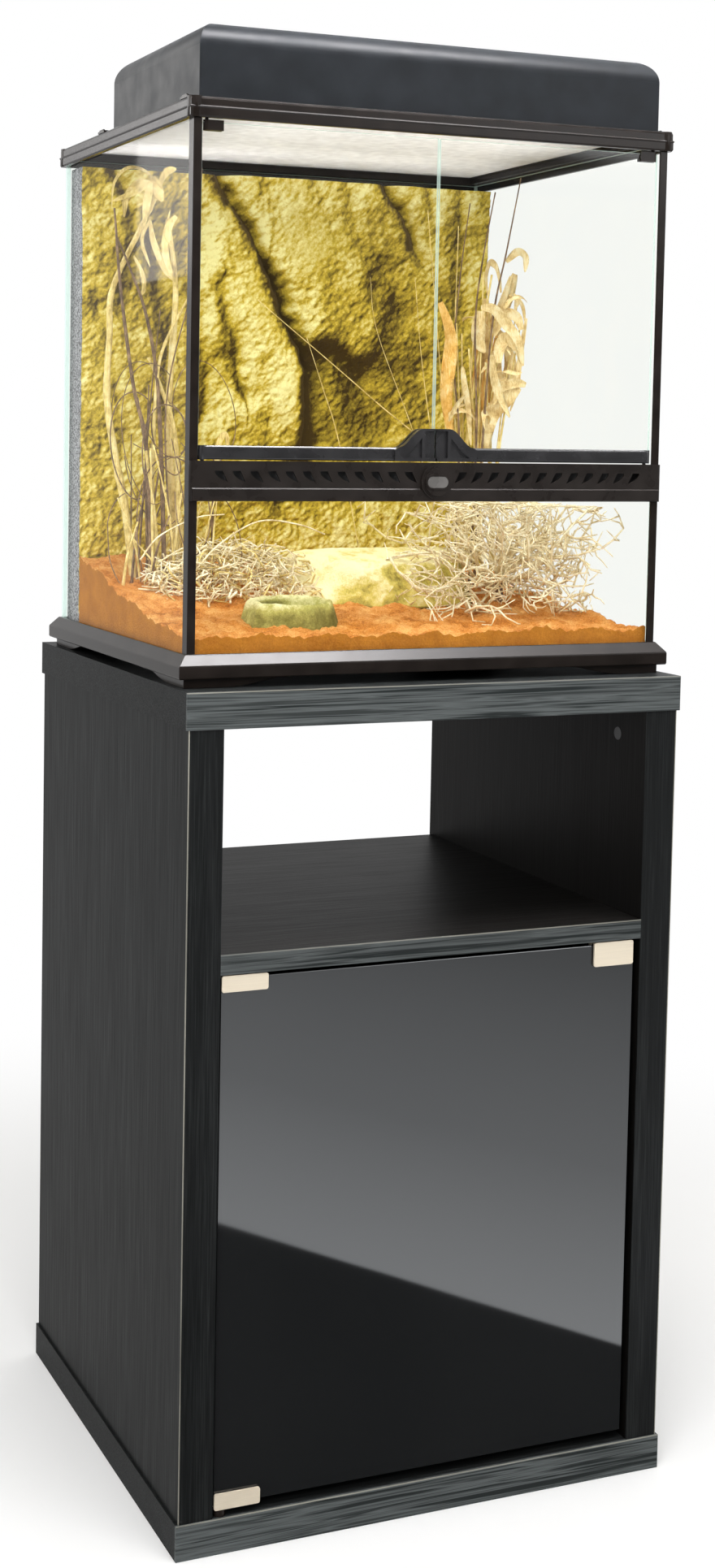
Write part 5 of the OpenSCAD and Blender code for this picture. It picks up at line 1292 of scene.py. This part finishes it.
def makeLamps():
    v = studio
    for name, power, where, size in v["lamps"]:
        lamp = softLamp(name, power, where, size)
        aim = Vector(v["aim"]) - Vector(where)
        lamp.rotation_euler = aim.to_track_quat("-Z", "Y").to_euler()
    for name, power, where, turn, spread in v["glows"]:
        lamp = softLamp(name, power, where, v["glowSize"])
        lamp.data.color = v["glowColour"]
        lamp.data.spread = math.radians(spread)
        lamp.rotation_euler = (math.radians(turn), 0, 0)


def makeCards():
    def diagonal(tree):  # bright beyond a slanting edge on the ground, for the shine across the door
        x, y, _ = axesOf(tree)
        (ax, ay), (bx, by) = studio["shineEdge"]
        reach = math.hypot(bx - ax, by - ay)
        nx, ny = (by - ay) / reach, (ax - bx) / reach
        along = plus(tree, times(tree, x, nx), times(tree, y, ny))
        past = mathOf(tree, "SUBTRACT", along, ax * nx + ay * ny)  # metres beyond the edge
        edge = rampOf(tree, plus(tree, past, 0.5), (0.498, 0.0), (0.502, 1.0))
        glow = rampOf(tree, times(tree, past, 0.5), (0.0, 1.0), (0.3, 0.6), (0.9, 0.3))
        return tinted(tree, tinted(tree, edge, glow), (3.4, 3.5, 3.6))

    card("groundCard", [(-4, -5, 0.003), (4, -5, 0.003), (4, -0.32, 0.003), (-4, -0.32, 0.003)], diagonal)

    def darkGrey(tree):  # dark, but for a bright field high at the right
        value = noiseOf(tree, place(tree), 0.4, 1)
        x, _, z = axesOf(tree)
        across = rampOf(tree, times(tree, x, 0.2), (0.3, 0.0), (0.64, 1.0))
        high = rampOf(tree, times(tree, z, 0.25), (0.57, 0.0), (0.6, 1.0))
        bright = tinted(tree, tinted(tree, across, high), (9.0, 9.2, 9.4))
        return mixOf(tree, 1.0, rampOf(tree, value, (0.2, 0.09), (0.8, 0.14)), bright, "ADD")

    card("frontCard", [(-5, -5, 0.0), (5, -5, 0.0), (5, -5, 3.4), (-5, -5, 3.4)], darkGrey)

    def stripLight(tree):  # bright at the left, fading to the right
        across = rampOf(tree, times(tree, axesOf(tree)[0], 0.5), (0.46, 1.0), (0.58, 0.26), (0.85, 0.08))
        return tinted(tree, across, (66.0, 65.0, 66.0))

    def sideLight(tree):
        value = noiseOf(tree, place(tree), 0.5, 1)
        return tinted(tree, rampOf(tree, value, (0.2, 0.8), (0.8, 1.0)), (6.0, 5.9, 5.8))

    card("sideCard", [(-2.4, -0.6, 1.85), (-2.4, 6.0, 1.85), (-2.4, 6.0, 4.2), (-2.4, -0.6, 4.2)], sideLight)
    card("overheadCard", [(-1.0, -1.3, 3.2), (2.4, -1.3, 3.2), (2.4, -0.5, 3.2), (-1.0, -0.5, 3.2)],
         stripLight)


makeWorld()
makeFloor()
makeLamps()
makeCards()
bpy.context.scene.view_settings.view_transform = "Standard"
print("studio set")
